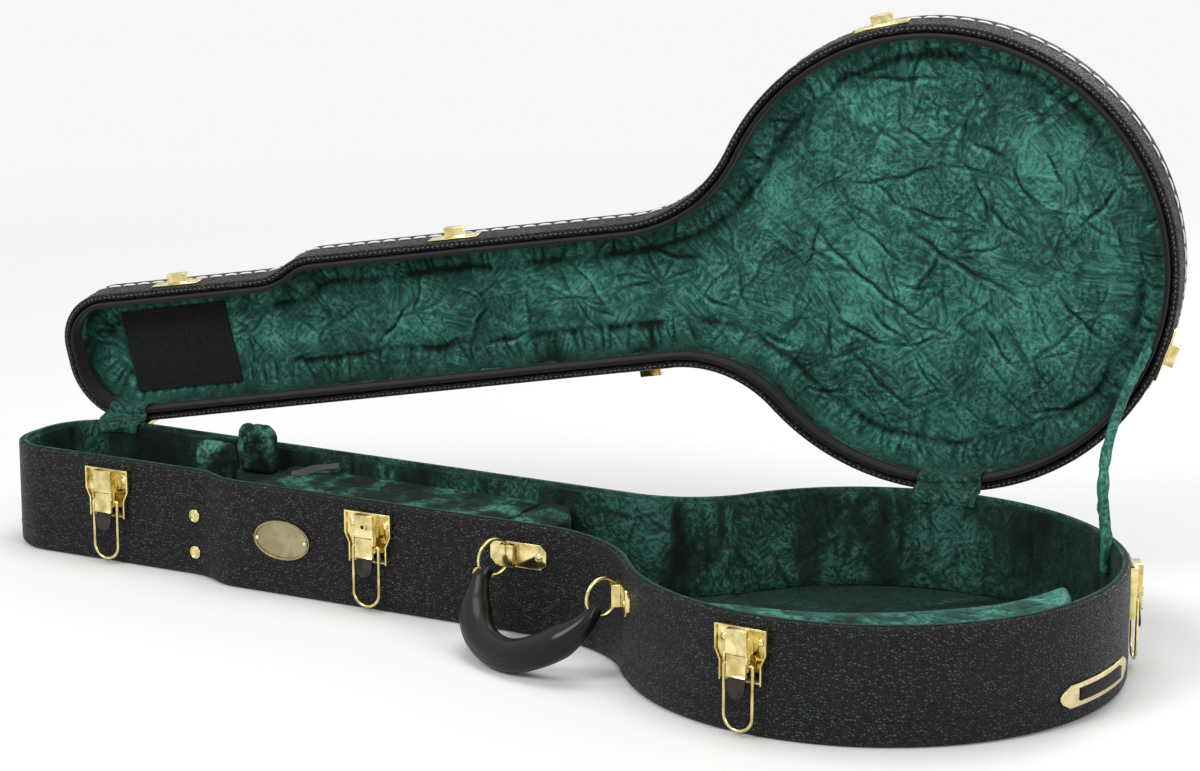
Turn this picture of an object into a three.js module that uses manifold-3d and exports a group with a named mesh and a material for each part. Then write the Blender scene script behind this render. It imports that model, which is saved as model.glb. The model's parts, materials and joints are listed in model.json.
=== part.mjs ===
// A hard case for a resonator banjo, standing open, in millimetres with +Z up.
// The origin is under the centre of the round body, on the face that the case stands on.
// +X runs along the hinge line towards the body end, +Y towards the hinges.
import * as THREE from "three";
import { mergeVertices } from "three/addons/utils/BufferGeometryUtils.js";
import Module from "manifold-3d";

const wasm = await Module();
wasm.setup();

// Plan of the case. "Along" is measured from the body's centre towards the headstock,
// "across" from the neck's centre line towards the hinges.
const bodyRadius = 200;
const neckRearReach = 66.7;
const neckFrontReach = 60.3;
const headFrontReach = 44.3;
const rearWaistRadius = 98;
const frontWaistRadius = 128;
const rearCornerRadius = 60;
const frontCornerRadius = 46;
const stepReach = 592;
const headLength = 232;
const stepLength = 56.6;
const frontTaper = THREE.MathUtils.degToRad(0.82);

// Shells
const baseDepth = 93.3;
const lidDepth = 42;
const rimGap = 0.8;
const wallThickness = 6;
const panelThickness = 6;
const baseEdgeRadius = 5.5;
const lidPanelThickness = 7;
const lidEdgeRadius = 6.5;
const rimBevel = 1.2;
const seatGap = 0.3;

// Linings
const floorLiningThickness = 2.7;
const wallLiningThickness = 3;
const liningDrop = 5;
const valanceClearance = 2.3;
const valanceThickness = 3.5;
const valanceReach = 3.5;
const valanceHeight = 14;
const valanceFoot = 7;
const lidLiningThickness = 3.7;

// Hinges
const hingeOffset = 3.2;
const hingeDrop = 8.9;
const lidOpenAngle = THREE.MathUtils.degToRad(84.6);
const hingeBarrelRadius = 2.8;
const hingePinRadius = 1.3;
const hingePinClearance = 0.3;
const hingeLength = 40;
const hingeKnuckles = 3;
const knuckleGap = 0.4;
const leafThickness = 1.2;
const leafHeight = 26;
const leafSink = 10;
const headHingeShift = 0.9;
const bodyHingeX = 12.5;
const headCoverWidth = 46;
const bodyCoverWidth = 66;
const coverThickness = 1;
const coverDrop = 16;
const coverLift = 10;

// Neck cradle and accessory compartment
const cradleBeyondStep = 15;
const cradleShift = 3;
const cradleSlot = 50;
const prongThickness = 13;
const prongLength = 36;
const prongTop = 117;
const prongSwell = 3;
const cradleBlockLength = 54;
const platformHeight = 77.3;
const endBlockWaistGap = 62.4;
const endBlockLength = 13;
const endBlockNose = 34;
const compartmentLidThickness = 5;
const compartmentLidClearance = 1.5;
const ribbonWidth = 11;
const ribbonThickness = 0.8;
const ribbonReach = 36;
const ribbonRise = 7;
const ribbonInset = 28;
const ribbonSkewShare = 0.6;
const padEndGap = 101;
const padAcross = 8;
const padLength = 107;
const padWidth = 76;
const padThickness = 2;

// Resonator bolster on the front of the body
const bolsterTop = 85;
const bolsterDepth = 61;
const bolsterCrown = 14;
const bolsterFrom = THREE.MathUtils.degToRad(-126);
const bolsterTo = THREE.MathUtils.degToRad(-4);

// Latches, in the frame of the wall that they sit on: right, up, out
const latchTop = 85.2;
const latchShoulder = 66;
const latchWaist = 57.5;
const latchBottom = 41.9;
const latchHalfWidth = 22.2;
const latchLowerHalfWidth = 18.2;
const latchSheet = 1.4;
const latchFlange = 5;
const wallSink = 3;
const guardMargin = 20;
const lockBoxHalfWidth = 9;
const lockBoxTop = 84.2;
const lockBoxBottom = 65;
const lockBoxStand = 11.3;
const earThickness = 1.3;
const earRadius = 2.2;
const leverPivotHeight = 60.5;
const leverPivotStand = 9.8;
const leverClearance = 0.4;
const leverTopRise = 3.9;
const leverSkin = 1.4;
const leverThickness = 2.3;
const leverFaceLength = 12.5;
const leverFlare = 1.2;
const tongueLength = 17;
const tongueHalfWidth = 7.6;
const tongueLean = 1.4;
const cheekThickness = 1.2;
const cheekDepth = 4.3;
const cheekRise = 1.2;
const cheekLength = 8.5;
const leverPinRadius = 1.2;
const leverPinClearance = 0.3;
const bailPivotDrop = 3.5;
const bailPivotBack = 2.7;
const bailWireRadius = 1.3;
const bailHalfWidth = 12.2;
const bailLength = 51.7;
const lockCylinderRadius = 3.4;
const lockCylinderProud = 0.8;
const plateRivetRadius = 3.2;
const plateRivetHeight = 1.8;
const plateRivetAcross = 15.6;
const plateRivetHeightAbove = 74.5;
const headLatchShare = 0.527;
const neckLatchGapShare = 0.57;
const waistLatchGap = 2.25;
const frontLatchAngle = THREE.MathUtils.degToRad(-103.9);
const endLatchAngle = THREE.MathUtils.degToRad(20);

// Catches on the lid, measured up from the lid's rim
const catchHalfWidth = 23;
const catchSheet = 1.5;
const catchLow = 6;
const catchHigh = 20;
const hookHalfWidth = 9.5;
const hookLow = 13;
const hookStand = 9;
const hookLip = 3;

// Handle
const stapleWaistGap = 24.4;
const stapleTurn = THREE.MathUtils.degToRad(1.2);
const stapleCentreHeight = 67.4;
const stapleHeight = 21;
const stapleSheet = 1.4;
const stapleBoxHalfWidth = 6.5;
const stapleBoxHeight = 18;
const stapleBoxStand = 8.6;
const stapleShortTab = 12;
const stapleLongTab = 27;
const stapleScrewRadius = 3.6;
const stapleScrewHeight = 2.2;
const stapleScrewEdge = 7;
const ringRadius = 15.2;
const ringWireRadius = 1.5;
const ringWallGap = 1.3;
const ringTunnelClearance = 0.6;
const gripHoleClearance = 0.4;
const gripDepth = 70;
const gripThickness = 27;
const gripWidth = 27;
const gripEndThickness = 10.5;
const gripEndWidth = 13;
const gripEndWrap = 5;
const gripFullShare = 2.1;
const gripFullPower = 1.3;

// Rivets and plates
const rivetRadius = 5.2;
const rivetHeight = 2;
const cradleRivetTurn = THREE.MathUtils.degToRad(6.7);
const cradleRivetHigh = 53.5;
const cradleRivetLow = 21;
const blockRivetLead = 8;
const blockRivetHigh = 46.5;
const blockRivetLow = 23.7;
const ovalGapShare = 0.27;
const ovalHeight = 48.9;
const ovalHalfWidth = 27.7;
const ovalHalfHeight = 17;
const ovalThickness = 1.8;
const ovalPinReach = 23.5;
const ovalPinRadius = 1.7;
const ovalPinHeight = 0.8;
const endPlateFrom = THREE.MathUtils.degToRad(-31.3);
const endPlateTo = THREE.MathUtils.degToRad(0.4);
const endPlateHeight = 22.4;
const endPlateHalfHeight = 9;
const endPlateThickness = 1.4;
const inlayFrom = THREE.MathUtils.degToRad(-25);
const inlayTo = THREE.MathUtils.degToRad(-5.5);
const inlayHalfHeight = 5;
const inlayThickness = 0.7;

// Stay strap, from the base's lining to the lid's
const strapWidth = 10;
const strapThickness = 2.4;
const strapBaseAngle = THREE.MathUtils.degToRad(27.4);
const strapLidAngle = THREE.MathUtils.degToRad(19);
const strapBaseLow = 70;
const strapBaseHigh = 89;
const strapLidLow = 5;
const strapLidHigh = 22;
const strapLiningGap = 2.2;
const strapBow = 15;

// Numbers of facets
const bodySteps = 36;
const waistSteps = 8;
const cornerSteps = 9;
const stepSteps = 3;
const edgeSteps = 3;
const roundSides = 14;
const wireSides = 8;
const wireSteps = 20;
const bailSteps = 34;
const ringSteps = 28;
const gripSteps = 18;
const gripSides = 14;
const bolsterSteps = 16;
const platePatchSteps = 10;

// The heights, standoffs and places that follow
const caseReach = stepReach + headLength;
const rim = baseDepth + rimGap;
const lidTop = rim + lidDepth;
const hingeY = bodyRadius + hingeOffset;
const hingeZ = baseDepth - hingeDrop;
const floorTop = panelThickness + seatGap + floorLiningThickness;
const liningInset = wallThickness + seatGap + wallLiningThickness;
// The grip hangs outwards until it lies on the surface that the case stands on.
const handleRestTilt = Math.acos((stapleCentreHeight - seatGap * 2 - gripWidth / 2) / gripDepth);
const valanceOuter = wallThickness + valanceClearance;
const valanceInner = valanceOuter + valanceThickness;
const lidWallInner = wallThickness + seatGap + lidLiningThickness;

// How far along the neck a waist's arc runs into its straight edge.
function waistEnd(reach, radius) {
  return Math.sqrt((bodyRadius + radius) ** 2 - (reach + radius) ** 2);
}

const frontWaistEnd = waistEnd(neckFrontReach, frontWaistRadius);
const stepStart = stepReach - stepLength / 2;
const stepEnd = stepReach + stepLength / 2;
const endBlockAlong = frontWaistEnd + endBlockWaistGap;
const blockRivetAlong = endBlockAlong - blockRivetLead;
const cradleAlong = stepReach + cradleBeyondStep;
const padAlong = caseReach - padEndGap;

// The staple, latch and oval plate keep their sizes and share the room that the neck's front leaves.
const stapleAlong = frontWaistEnd + stapleWaistGap;
const stapleFar = stapleAlong + stapleBoxHalfWidth + stapleLongTab;
const neckRoom = stepStart - stapleFar - 2 * (latchHalfWidth + ovalHalfWidth);
const neckLatchAlong = stapleFar + neckRoom * neckLatchGapShare + latchHalfWidth;
const ovalAlong = neckLatchAlong + latchHalfWidth + neckRoom * ovalGapShare + ovalHalfWidth;
const headLatchAlong = THREE.MathUtils.lerp(stepEnd, caseReach - frontCornerRadius, headLatchShare);
const waistLatchAlong = waistEnd(neckRearReach, rearWaistRadius) + waistLatchGap + latchHalfWidth;

const polar = (angle) => new THREE.Vector2(Math.cos(angle), Math.sin(angle));
const angleOf = (v) => Math.atan2(v.y, v.x);
const up = new THREE.Vector3(0, 0, 1);

// The neck leaves the body at a small angle to the hinge line, so that the headstock's rear corner
// touches that line again.
const cornerAlong = caseReach - rearCornerRadius;
const cornerAcross = neckRearReach - rearCornerRadius;
const cornerY = bodyRadius - rearCornerRadius;
const cornerX = -Math.sqrt(cornerAlong ** 2 + cornerAcross ** 2 - cornerY ** 2);
const headCorner = new THREE.Vector2(cornerX, cornerY);
const headHingeX = cornerX - headHingeShift;
const skew = Math.atan2(cornerY, -cornerX) - Math.atan2(cornerAcross, cornerAlong);
const alongNeck = new THREE.Vector2(-Math.cos(skew), Math.sin(skew));
const acrossNeck = new THREE.Vector2(Math.sin(skew), Math.cos(skew));
const alongFront = new THREE.Vector2(-Math.cos(skew - frontTaper), Math.sin(skew - frontTaper));
const outFront = new THREE.Vector2(-Math.sin(skew - frontTaper), -Math.cos(skew - frontTaper));

function neckPoint(along, across) {
  return alongNeck.clone().multiplyScalar(along).addScaledVector(acrossNeck, across);
}

function frontPoint(along, out) {
  return alongFront.clone().multiplyScalar(along).addScaledVector(outFront, out);
}

// Centre of the arc that joins the body's circle to a straight edge at this reach.
function waistCentre(normal, reach, radius) {
  const tangent = new THREE.Vector2(-normal.y, normal.x);
  if (tangent.x > 0) tangent.negate();
  return normal.clone().multiplyScalar(reach + radius).addScaledVector(tangent, waistEnd(reach, radius));
}

function frontCornerCentre() {
  const reachAlong = caseReach - frontCornerRadius;
  const reachOut = headFrontReach - frontCornerRadius;
  const cross = alongNeck.x * outFront.y - alongNeck.y * outFront.x;
  return new THREE.Vector2(
    (reachAlong * outFront.y - alongNeck.y * reachOut) / cross,
    (alongNeck.x * reachOut - reachAlong * outFront.x) / cross,
  );
}

// The front edge steps in towards the headstock through two equal bends.
const stepTurn = 2 * Math.atan((neckFrontReach - headFrontReach) / stepLength);
const stepRadius = stepLength / (2 * Math.sin(stepTurn));
const stepHollow = frontPoint(stepEnd, headFrontReach + stepRadius);
const stepShoulder = frontPoint(stepStart, neckFrontReach - stepRadius);

// The outline's arcs, counterclockwise. A side of 1 bulges outwards, -1 curves inwards.
function planArcs() {
  const rearWaist = waistCentre(acrossNeck, neckRearReach, rearWaistRadius);
  const frontWaist = waistCentre(outFront, neckFrontReach, frontWaistRadius);
  const inFront = outFront.clone().negate();
  const behindNeck = acrossNeck.clone().negate();
  return [
    [new THREE.Vector2(), bodyRadius, angleOf(frontWaist), angleOf(rearWaist), 1, bodySteps, true],
    [rearWaist, rearWaistRadius, angleOf(rearWaist) + Math.PI, angleOf(behindNeck), -1, waistSteps],
    [headCorner, rearCornerRadius, angleOf(acrossNeck), angleOf(alongNeck), 1, cornerSteps],
    [frontCornerCentre(), frontCornerRadius, angleOf(alongNeck), angleOf(outFront), 1, cornerSteps],
    [stepHollow, stepRadius, angleOf(inFront), angleOf(inFront) - stepTurn, -1, stepSteps, true],
    [stepShoulder, stepRadius, angleOf(outFront) - stepTurn, angleOf(outFront), 1, stepSteps],
    [frontWaist, frontWaistRadius, angleOf(inFront), angleOf(frontWaist) + Math.PI, -1, waistSteps, true],
  ];
}

// Points of the outline, each of which can be asked for at any inset.
function planStations() {
  const stations = [];
  for (const [centre, radius, from, to, side, steps, meetsNext] of planArcs()) {
    const turn = Math.PI * 2;
    const sweep = side * ((((to - from) * side) % turn + turn) % turn);
    const count = meetsNext ? steps : steps + 1;
    for (let i = 0; i < count; i++) {
      stations.push({ centre, radius, side, angle: from + (sweep * i) / steps });
    }
  }
  return stations;
}

const stations = planStations();

function stationPoint(station, inset) {
  const reach = station.radius - station.side * inset;
  return station.centre.clone().addScaledVector(polar(station.angle), reach);
}

const raise = (point, z) => new THREE.Vector3(point.x, point.y, z);

// Closed solids from loops of points

function capFaces(loop) {
  const normal = new THREE.Vector3();
  loop.forEach((a, i) => {
    normal.add(new THREE.Vector3().crossVectors(a, loop[(i + 1) % loop.length]));
  });
  normal.normalize();
  const side = new THREE.Vector3(1, 0, 0);
  if (Math.abs(normal.x) > Math.SQRT1_2) side.set(0, 1, 0);
  const right = new THREE.Vector3().crossVectors(side, normal).normalize();
  const ahead = new THREE.Vector3().crossVectors(normal, right);
  const flat = loop.map((p) => new THREE.Vector2(p.dot(right), p.dot(ahead)));
  const faces = THREE.ShapeUtils.triangulateShape(flat, []);
  return THREE.ShapeUtils.area(flat) < 0 ? faces.map(([a, b, c]) => [a, c, b]) : faces;
}

function volumeOf(points, faces) {
  return faces.reduce((sum, [a, b, c]) => {
    return sum + points[a].dot(new THREE.Vector3().crossVectors(points[b], points[c]));
  }, 0);
}

function solidFromLoops(loops, joined = false) {
  const count = loops[0].length;
  const points = loops.flat();
  const rows = joined ? loops.length : loops.length - 1;
  let faces = [];
  for (let i = 0; i < rows; i++) {
    const here = i * count;
    const next = ((i + 1) % loops.length) * count;
    for (let j = 0; j < count; j++) {
      const k = (j + 1) % count;
      faces.push([here + j, here + k, next + k], [here + j, next + k, next + j]);
    }
  }
  if (!joined) {
    const far = (loops.length - 1) * count;
    capFaces(loops[0]).forEach(([a, b, c]) => faces.push([a, c, b]));
    capFaces(loops.at(-1)).forEach(([a, b, c]) => faces.push([far + a, far + b, far + c]));
  }
  if (volumeOf(points, faces) < 0) faces = faces.map(([a, b, c]) => [a, c, b]);
  const geometry = new THREE.BufferGeometry();
  geometry.setAttribute("position", new THREE.Float32BufferAttribute(points.flatMap((p) => p.toArray()), 3));
  geometry.setIndex(faces.flat());
  return geometry;
}

// A ring that follows the outline; its section is a list of [inset, height].
function ringAround(section) {
  const loops = stations.map((station) => {
    return section.map(([inset, z]) => raise(stationPoint(station, inset), z));
  });
  return solidFromLoops(loops, true);
}

// A plate in the outline's shape, through levels of [inset, height].
function panelThrough(levels) {
  return solidFromLoops(levels.map(([inset, z]) => stations.map((s) => raise(stationPoint(s, inset), z))));
}

function roundedEdge(radius, base, direction) {
  const levels = [];
  for (let i = 0; i <= edgeSteps; i++) {
    const angle = (Math.PI / 2) * (i / edgeSteps);
    const inset = radius * (1 - Math.sin(angle));
    levels.push([inset, base + direction * radius * (1 - Math.cos(angle))]);
  }
  return levels;
}

// Joining and cutting

function toSolid(geometry) {
  const bare = geometry.clone();
  bare.deleteAttribute("normal");
  bare.deleteAttribute("uv");
  const merged = mergeVertices(bare);
  return new wasm.Manifold(
    new wasm.Mesh({
      numProp: 3,
      vertProperties: Float32Array.from(merged.attributes.position.array),
      triVerts: Uint32Array.from(merged.index.array),
    }),
  );
}

function toGeometry(solid) {
  const mesh = solid.getMesh();
  const geometry = new THREE.BufferGeometry();
  geometry.setAttribute("position", new THREE.Float32BufferAttribute(mesh.vertProperties, 3));
  geometry.setIndex(Array.from(mesh.triVerts));
  return geometry;
}

const join = (...parts) => toGeometry(parts.map(toSolid).reduce((a, b) => a.add(b)));
const cut = (part, ...tools) => toGeometry(tools.map(toSolid).reduce((a, b) => a.subtract(b), toSolid(part)));

// Small shapes in the frame right, up, out

function plateOf(points, from, to) {
  const shape = new THREE.Shape(points.map(([x, y]) => new THREE.Vector2(x, y)));
  const plate = new THREE.ExtrudeGeometry(shape, { depth: to - from, bevelEnabled: false });
  return plate.translate(0, 0, from);
}

function block(left, right, low, high, from, to) {
  return plateOf([[left, low], [right, low], [right, high], [left, high]], from, to);
}

function domeAt(x, y, from, radius, height) {
  const steps = edgeSteps;
  const profile = [new THREE.Vector2(0, 0), new THREE.Vector2(radius, 0)];
  for (let i = 1; i <= steps; i++) {
    const angle = (Math.PI / 2) * (i / steps);
    const reach = i === steps ? 0 : radius * Math.cos(angle);
    profile.push(new THREE.Vector2(reach, height * Math.sin(angle)));
  }
  const dome = new THREE.LatheGeometry(profile, roundSides);
  return dome.rotateX(Math.PI / 2).translate(x, y, from);
}

function discAt(x, y, from, to, radius) {
  const disc = new THREE.CylinderGeometry(radius, radius, to - from, roundSides);
  return disc.rotateX(Math.PI / 2).translate(x, y, (from + to) / 2);
}

function rodAlongX(y, z, halfLength, radius) {
  const rod = new THREE.CylinderGeometry(radius, radius, halfLength * 2, roundSides);
  return rod.rotateZ(Math.PI / 2).translate(0, y, z);
}

// Where fittings sit on the walls

function seatAt(point, outward, height) {
  const out = new THREE.Vector3(outward.x, outward.y, 0);
  const right = new THREE.Vector3().crossVectors(up, out);
  const matrix = new THREE.Matrix4().makeBasis(right, up, out);
  return matrix.setPosition(point.x, point.y, height);
}

const onHeadFront = (along) => seatAt(frontPoint(along, headFrontReach), outFront, 0);
const onNeckFront = (along) => seatAt(frontPoint(along, neckFrontReach), outFront, 0);
const onNeckRear = (along) => seatAt(neckPoint(along, neckRearReach), acrossNeck, 0);
function onStepHollow(turn) {
  const inward = polar(angleOf(outFront) + Math.PI - turn);
  return seatAt(stepHollow.clone().addScaledVector(inward, stepRadius), inward.clone().negate(), 0);
}

const onBody = (angle) => seatAt(polar(angle).multiplyScalar(bodyRadius), polar(angle), 0);

const wallBlock = panelThrough([[-seatGap, -lidTop], [-seatGap, lidTop * 2]]);

// Trims the back of a fitting to the wall behind it, in the fitting's own frame.
function seated(geometry, seat) {
  const wall = wallBlock.clone().applyMatrix4(seat.clone().invert());
  return cut(geometry, wall);
}

// Finishes
const finish = (color, roughness, metalness = 0) => ({ color, roughness, metalness });
const leatherette = finish(0x17181a, 0.55);
const plush = finish(0x0f5a45, 0.9);
const gold = finish(0xe8c05a, 0.2, 1);
const brass = finish(0xb09a5c, 0.45, 1);
const gripLeather = finish(0x121314, 0.4);
const blackFabric = finish(0x141414, 0.95);
const greyRibbon = finish(0x3c3f40, 0.9);

function piece(name, geometry, look) {
  const mesh = new THREE.Mesh(geometry, new THREE.MeshStandardMaterial(look));
  mesh.name = name;
  return mesh;
}

const bankCase = new THREE.Group();
const lid = new THREE.Group();
const lidContent = new THREE.Group();
lid.position.set(0, hingeY, hingeZ);
lid.rotation.x = -lidOpenAngle;
lidContent.position.set(0, -hingeY, -hingeZ);
lid.add(lidContent);
bankCase.add(lid);

function place(group, seat, ...pieces) {
  const holder = new THREE.Group();
  holder.applyMatrix4(seat);
  holder.add(...pieces);
  group.add(holder);
}

// Base shell and its linings
const wallFoot = panelThickness + seatGap;
const liningTop = baseDepth - liningDrop;
bankCase.add(
  piece("base_bottom_panel", panelThrough([
    ...roundedEdge(baseEdgeRadius, 0, 1), [0, panelThickness],
  ]), leatherette),
  piece("base_side_wall", ringAround([
    [0, wallFoot], [0, baseDepth - rimBevel], [rimBevel, baseDepth],
    [wallThickness - rimBevel, baseDepth], [wallThickness, baseDepth - rimBevel], [wallThickness, wallFoot],
  ]), leatherette),
  piece("base_floor_lining", panelThrough([
    [wallThickness + seatGap, wallFoot], [wallThickness + seatGap, floorTop],
  ]), plush),
  piece("base_wall_lining", ringAround([
    [wallThickness + seatGap, floorTop + seatGap], [wallThickness + seatGap, liningTop],
    [liningInset, liningTop], [liningInset, floorTop + seatGap],
  ]), plush),
);

// Lid shell and its linings
const lidPanelFoot = lidTop - lidPanelThickness;
const valanceTop = rim + valanceHeight;
const lidLiningTop = lidPanelFoot - seatGap;
const lidLiningFace = lidLiningTop - lidLiningThickness;
lidContent.add(
  piece("lid_top_panel", panelThrough([
    ...roundedEdge(lidEdgeRadius, lidTop, -1), [0, lidPanelFoot],
  ]), leatherette),
  piece("lid_side_wall", ringAround([
    [0, lidPanelFoot - seatGap], [0, rim + rimBevel], [rimBevel, rim],
    [wallThickness - rimBevel, rim], [wallThickness, rim + rimBevel], [wallThickness, lidPanelFoot - seatGap],
  ]), leatherette),
  piece("lid_valance", ringAround([
    [wallThickness + seatGap, rim + valanceFoot], [wallThickness + seatGap, valanceTop],
    [valanceInner, valanceTop], [valanceInner, rim - valanceReach],
    [valanceOuter, rim - valanceReach], [valanceOuter, rim + valanceFoot],
  ]), blackFabric),
  piece("lid_panel_lining", panelThrough([
    [wallThickness + seatGap, lidLiningFace], [wallThickness + seatGap, lidLiningTop],
  ]), plush),
  piece("lid_wall_lining", ringAround([
    [wallThickness + seatGap, valanceTop + seatGap], [wallThickness + seatGap, lidLiningFace - seatGap],
    [lidWallInner, lidLiningFace - seatGap], [lidWallInner, valanceTop + seatGap],
  ]), plush),
);

// Blocks that stand across the neck

function guardWall(clearance) {
  const inner = liningInset + clearance;
  return ringAround([
    [-guardMargin, -guardMargin], [-guardMargin, lidTop], [inner, lidTop], [inner, -guardMargin],
  ]);
}

const liningGuard = guardWall(seatGap);
const insideLinings = (geometry) => cut(geometry, liningGuard);

// A block from a plan outline of [along, across], between two heights.
function neckBlock(plan, low, high) {
  const levels = [low, high].map((z) => plan.map(([along, across]) => raise(neckPoint(along, across), z)));
  return solidFromLoops(levels);
}

function neckBar(alongFrom, alongTo, acrossFrom, acrossTo, low, high) {
  const plan = [[alongFrom, acrossFrom], [alongTo, acrossFrom], [alongTo, acrossTo], [alongFrom, acrossTo]];
  return neckBlock(plan, low, high);
}

const blockFoot = floorTop + seatGap;
const cradleNear = cradleAlong - cradleBlockLength / 2;
const cradleFar = cradleAlong + cradleBlockLength / 2;
const compartmentLidFoot = platformHeight - compartmentLidThickness;
const cradleTop = compartmentLidFoot - seatGap;
const neckSpan = neckRearReach + wallSink;

// A padded prong: a loaf that narrows towards its rounded top.
function prong(acrossMiddle) {
  const low = cradleTop + seatGap;
  const height = prongTop - low;
  const heightShares = [0, 0.12, 0.6, 0.88, 1];
  const swellShares = [0.4, 1, 0.7, 0.1, -2.2];
  const cornerShares = [
    [1, 0.55], [0.7, 1], [-0.7, 1], [-1, 0.55], [-1, -0.55], [-0.7, -1], [0.7, -1], [1, -0.55],
  ];
  const loops = heightShares.map((share, i) => {
    const swell = swellShares[i] * prongSwell;
    const halfLength = prongLength / 2 + swell;
    const halfWidth = prongThickness / 2 + swell / 2;
    return cornerShares.map(([alongShare, acrossShare]) => {
      const spot = neckPoint(cradleAlong + halfLength * alongShare, acrossMiddle + halfWidth * acrossShare);
      return raise(spot, low + height * share);
    });
  });
  return solidFromLoops(loops);
}

const prongMiddle = (cradleSlot + prongThickness) / 2;

// The compartment's end block has a rounded nose towards the body.
function endBlockPlan() {
  const plan = [[endBlockAlong, neckSpan], [endBlockAlong, -neckSpan]];
  const noseRoot = endBlockAlong - endBlockLength;
  for (let i = 0; i <= platePatchSteps; i++) {
    const share = (2 * i) / platePatchSteps - 1;
    plan.push([noseRoot - endBlockNose * (1 - share ** 2), neckSpan * share]);
  }
  return plan;
}

bankCase.add(
  piece("cradle_block", insideLinings(
    neckBar(cradleNear, cradleFar, -neckSpan, neckSpan, blockFoot, cradleTop)), plush),
  piece("cradle_rear_prong", prong(cradleShift + prongMiddle), plush),
  piece("cradle_front_prong", prong(cradleShift - prongMiddle), plush),
  piece("compartment_end_block", insideLinings(neckBlock(endBlockPlan(), blockFoot, platformHeight)), plush),
);

// Compartment lid: it rests on the cradle block, hinges at the end block and has a pull ribbon
const compartmentLidFar = cradleAlong - prongLength / 2 - prongSwell - compartmentLidClearance;
const compartmentLidNear = endBlockAlong + seatGap;
bankCase.add(piece("compartment_lid", cut(
  neckBar(compartmentLidNear, compartmentLidFar, -neckSpan, neckSpan, compartmentLidFoot, platformHeight),
  guardWall(compartmentLidClearance)), plush));

function ribbon() {
  const from = compartmentLidFar - ribbonWidth;
  const lengthShares = [0, 0.12, 0.55, 1];
  const riseShares = [0, 0.25, 0.6, 1];
  const loops = lengthShares.map((share, i) => {
    const along = from - ribbonReach * share;
    const across = ribbonInset + ribbonReach * share * ribbonSkewShare;
    const low = platformHeight + seatGap + ribbonRise * riseShares[i];
    const corners = [[0, 0], [ribbonWidth, 0], [ribbonWidth, 1], [0, 1]];
    return corners.map(([run, layer]) => raise(neckPoint(along + run, across), low + ribbonThickness * layer));
  });
  return solidFromLoops(loops);
}

bankCase.add(piece("compartment_lid_ribbon", ribbon(), greyRibbon));

// Black pad on the lid's lining, over the headstock
const padPlan = [[1, 1], [1, -1], [-1, -1], [-1, 1]].map(([a, b]) => {
  return [padAlong + (a * padLength) / 2, padAcross + (b * padWidth) / 2];
});
const padTop = lidLiningFace - seatGap;
lidContent.add(piece("lid_pad", neckBlock(padPlan, padTop - padThickness, padTop), blackFabric));

// Crescent bolster that the resonator leans on. Its depth follows the wall from end to end.
const bolsterDepthShares = [0.22, 0.52, 0.68, 0.8, 0.93, 1, 1, 0.95, 0.83, 0.62, 0.3, 0.06];

function shareAt(shares, t) {
  const spot = t * (shares.length - 1);
  const low = Math.min(Math.floor(spot), shares.length - 2);
  return THREE.MathUtils.lerp(shares[low], shares[low + 1], spot - low);
}

function bolster() {
  const wallRadius = bodyRadius - liningInset;
  const depthShares = [0, 1, 1, 0.9, 0.62, 0.25, 0];
  const heightShares = [0, 0, 0.62, 0.86, 0.98, 1, 0.94];
  const loops = [];
  for (let i = 0; i <= bolsterSteps; i++) {
    const share = i / bolsterSteps;
    const angle = bolsterFrom + (bolsterTo - bolsterFrom) * share;
    const fullness = shareAt(bolsterDepthShares, share);
    const height = bolsterTop - blockFoot - bolsterCrown * (1 - fullness) ** 2;
    loops.push(depthShares.map((depthShare, k) => {
      const reach = wallRadius - seatGap / 2 - bolsterDepth * fullness * depthShare;
      return raise(polar(angle).multiplyScalar(reach), blockFoot + height * heightShares[k]);
    }));
  }
  return insideLinings(solidFromLoops(loops));
}

bankCase.add(piece("resonator_bolster", bolster(), plush));

// Hinges

function knuckle(x, length) {
  const barrel = new THREE.CylinderGeometry(hingeBarrelRadius, hingeBarrelRadius, length, roundSides);
  return barrel.rotateZ(Math.PI / 2).translate(x, hingeY, hingeZ);
}

// A flat sheet behind the rear wall, cut to the wall's own curve.
function rearSheet(x, low, high) {
  const outer = hingeY - hingeBarrelRadius + leafThickness;
  const inner = bodyRadius - leafSink;
  const sheet = new THREE.BoxGeometry(hingeLength, outer - inner, high - low);
  const middleY = (outer + inner) / 2;
  return sheet.translate(x, middleY, (low + high) / 2);
}

function hingeLeaf(x, onLid) {
  const pitch = hingeLength / hingeKnuckles;
  const wings = [];
  for (let i = 0; i < hingeKnuckles; i++) {
    const mine = (i % 2 === 1) === onLid;
    const middle = x + pitch * (i - (hingeKnuckles - 1) / 2);
    if (mine) wings.push(knuckle(middle, pitch - knuckleGap));
  }
  const away = hingeBarrelRadius + knuckleGap;
  const sheet = onLid
    ? rearSheet(x, hingeZ + away, hingeZ + away + leafHeight)
    : rearSheet(x, hingeZ - away - leafHeight, hingeZ - away);
  const tabs = wings.map((_, i) => {
    const offset = onLid ? 0 : (i * 2 - 1) * pitch;
    const low = onLid ? hingeZ : hingeZ - away - leafThickness;
    const high = onLid ? hingeZ + away + leafThickness : hingeZ;
    const tab = new THREE.BoxGeometry(pitch - knuckleGap, leafThickness, high - low);
    return tab.translate(x + offset, hingeY - hingeBarrelRadius + leafThickness / 2, (low + high) / 2);
  });
  const whole = join(sheet, ...wings, ...tabs);
  const bore = knuckle(x, hingeLength * 2).translate(0, -hingeY, -hingeZ);
  const share = (hingePinRadius + hingePinClearance) / hingeBarrelRadius;
  bore.scale(1, share, share).translate(0, hingeY, hingeZ);
  return cut(whole, bore, wallBlock);
}

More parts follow.
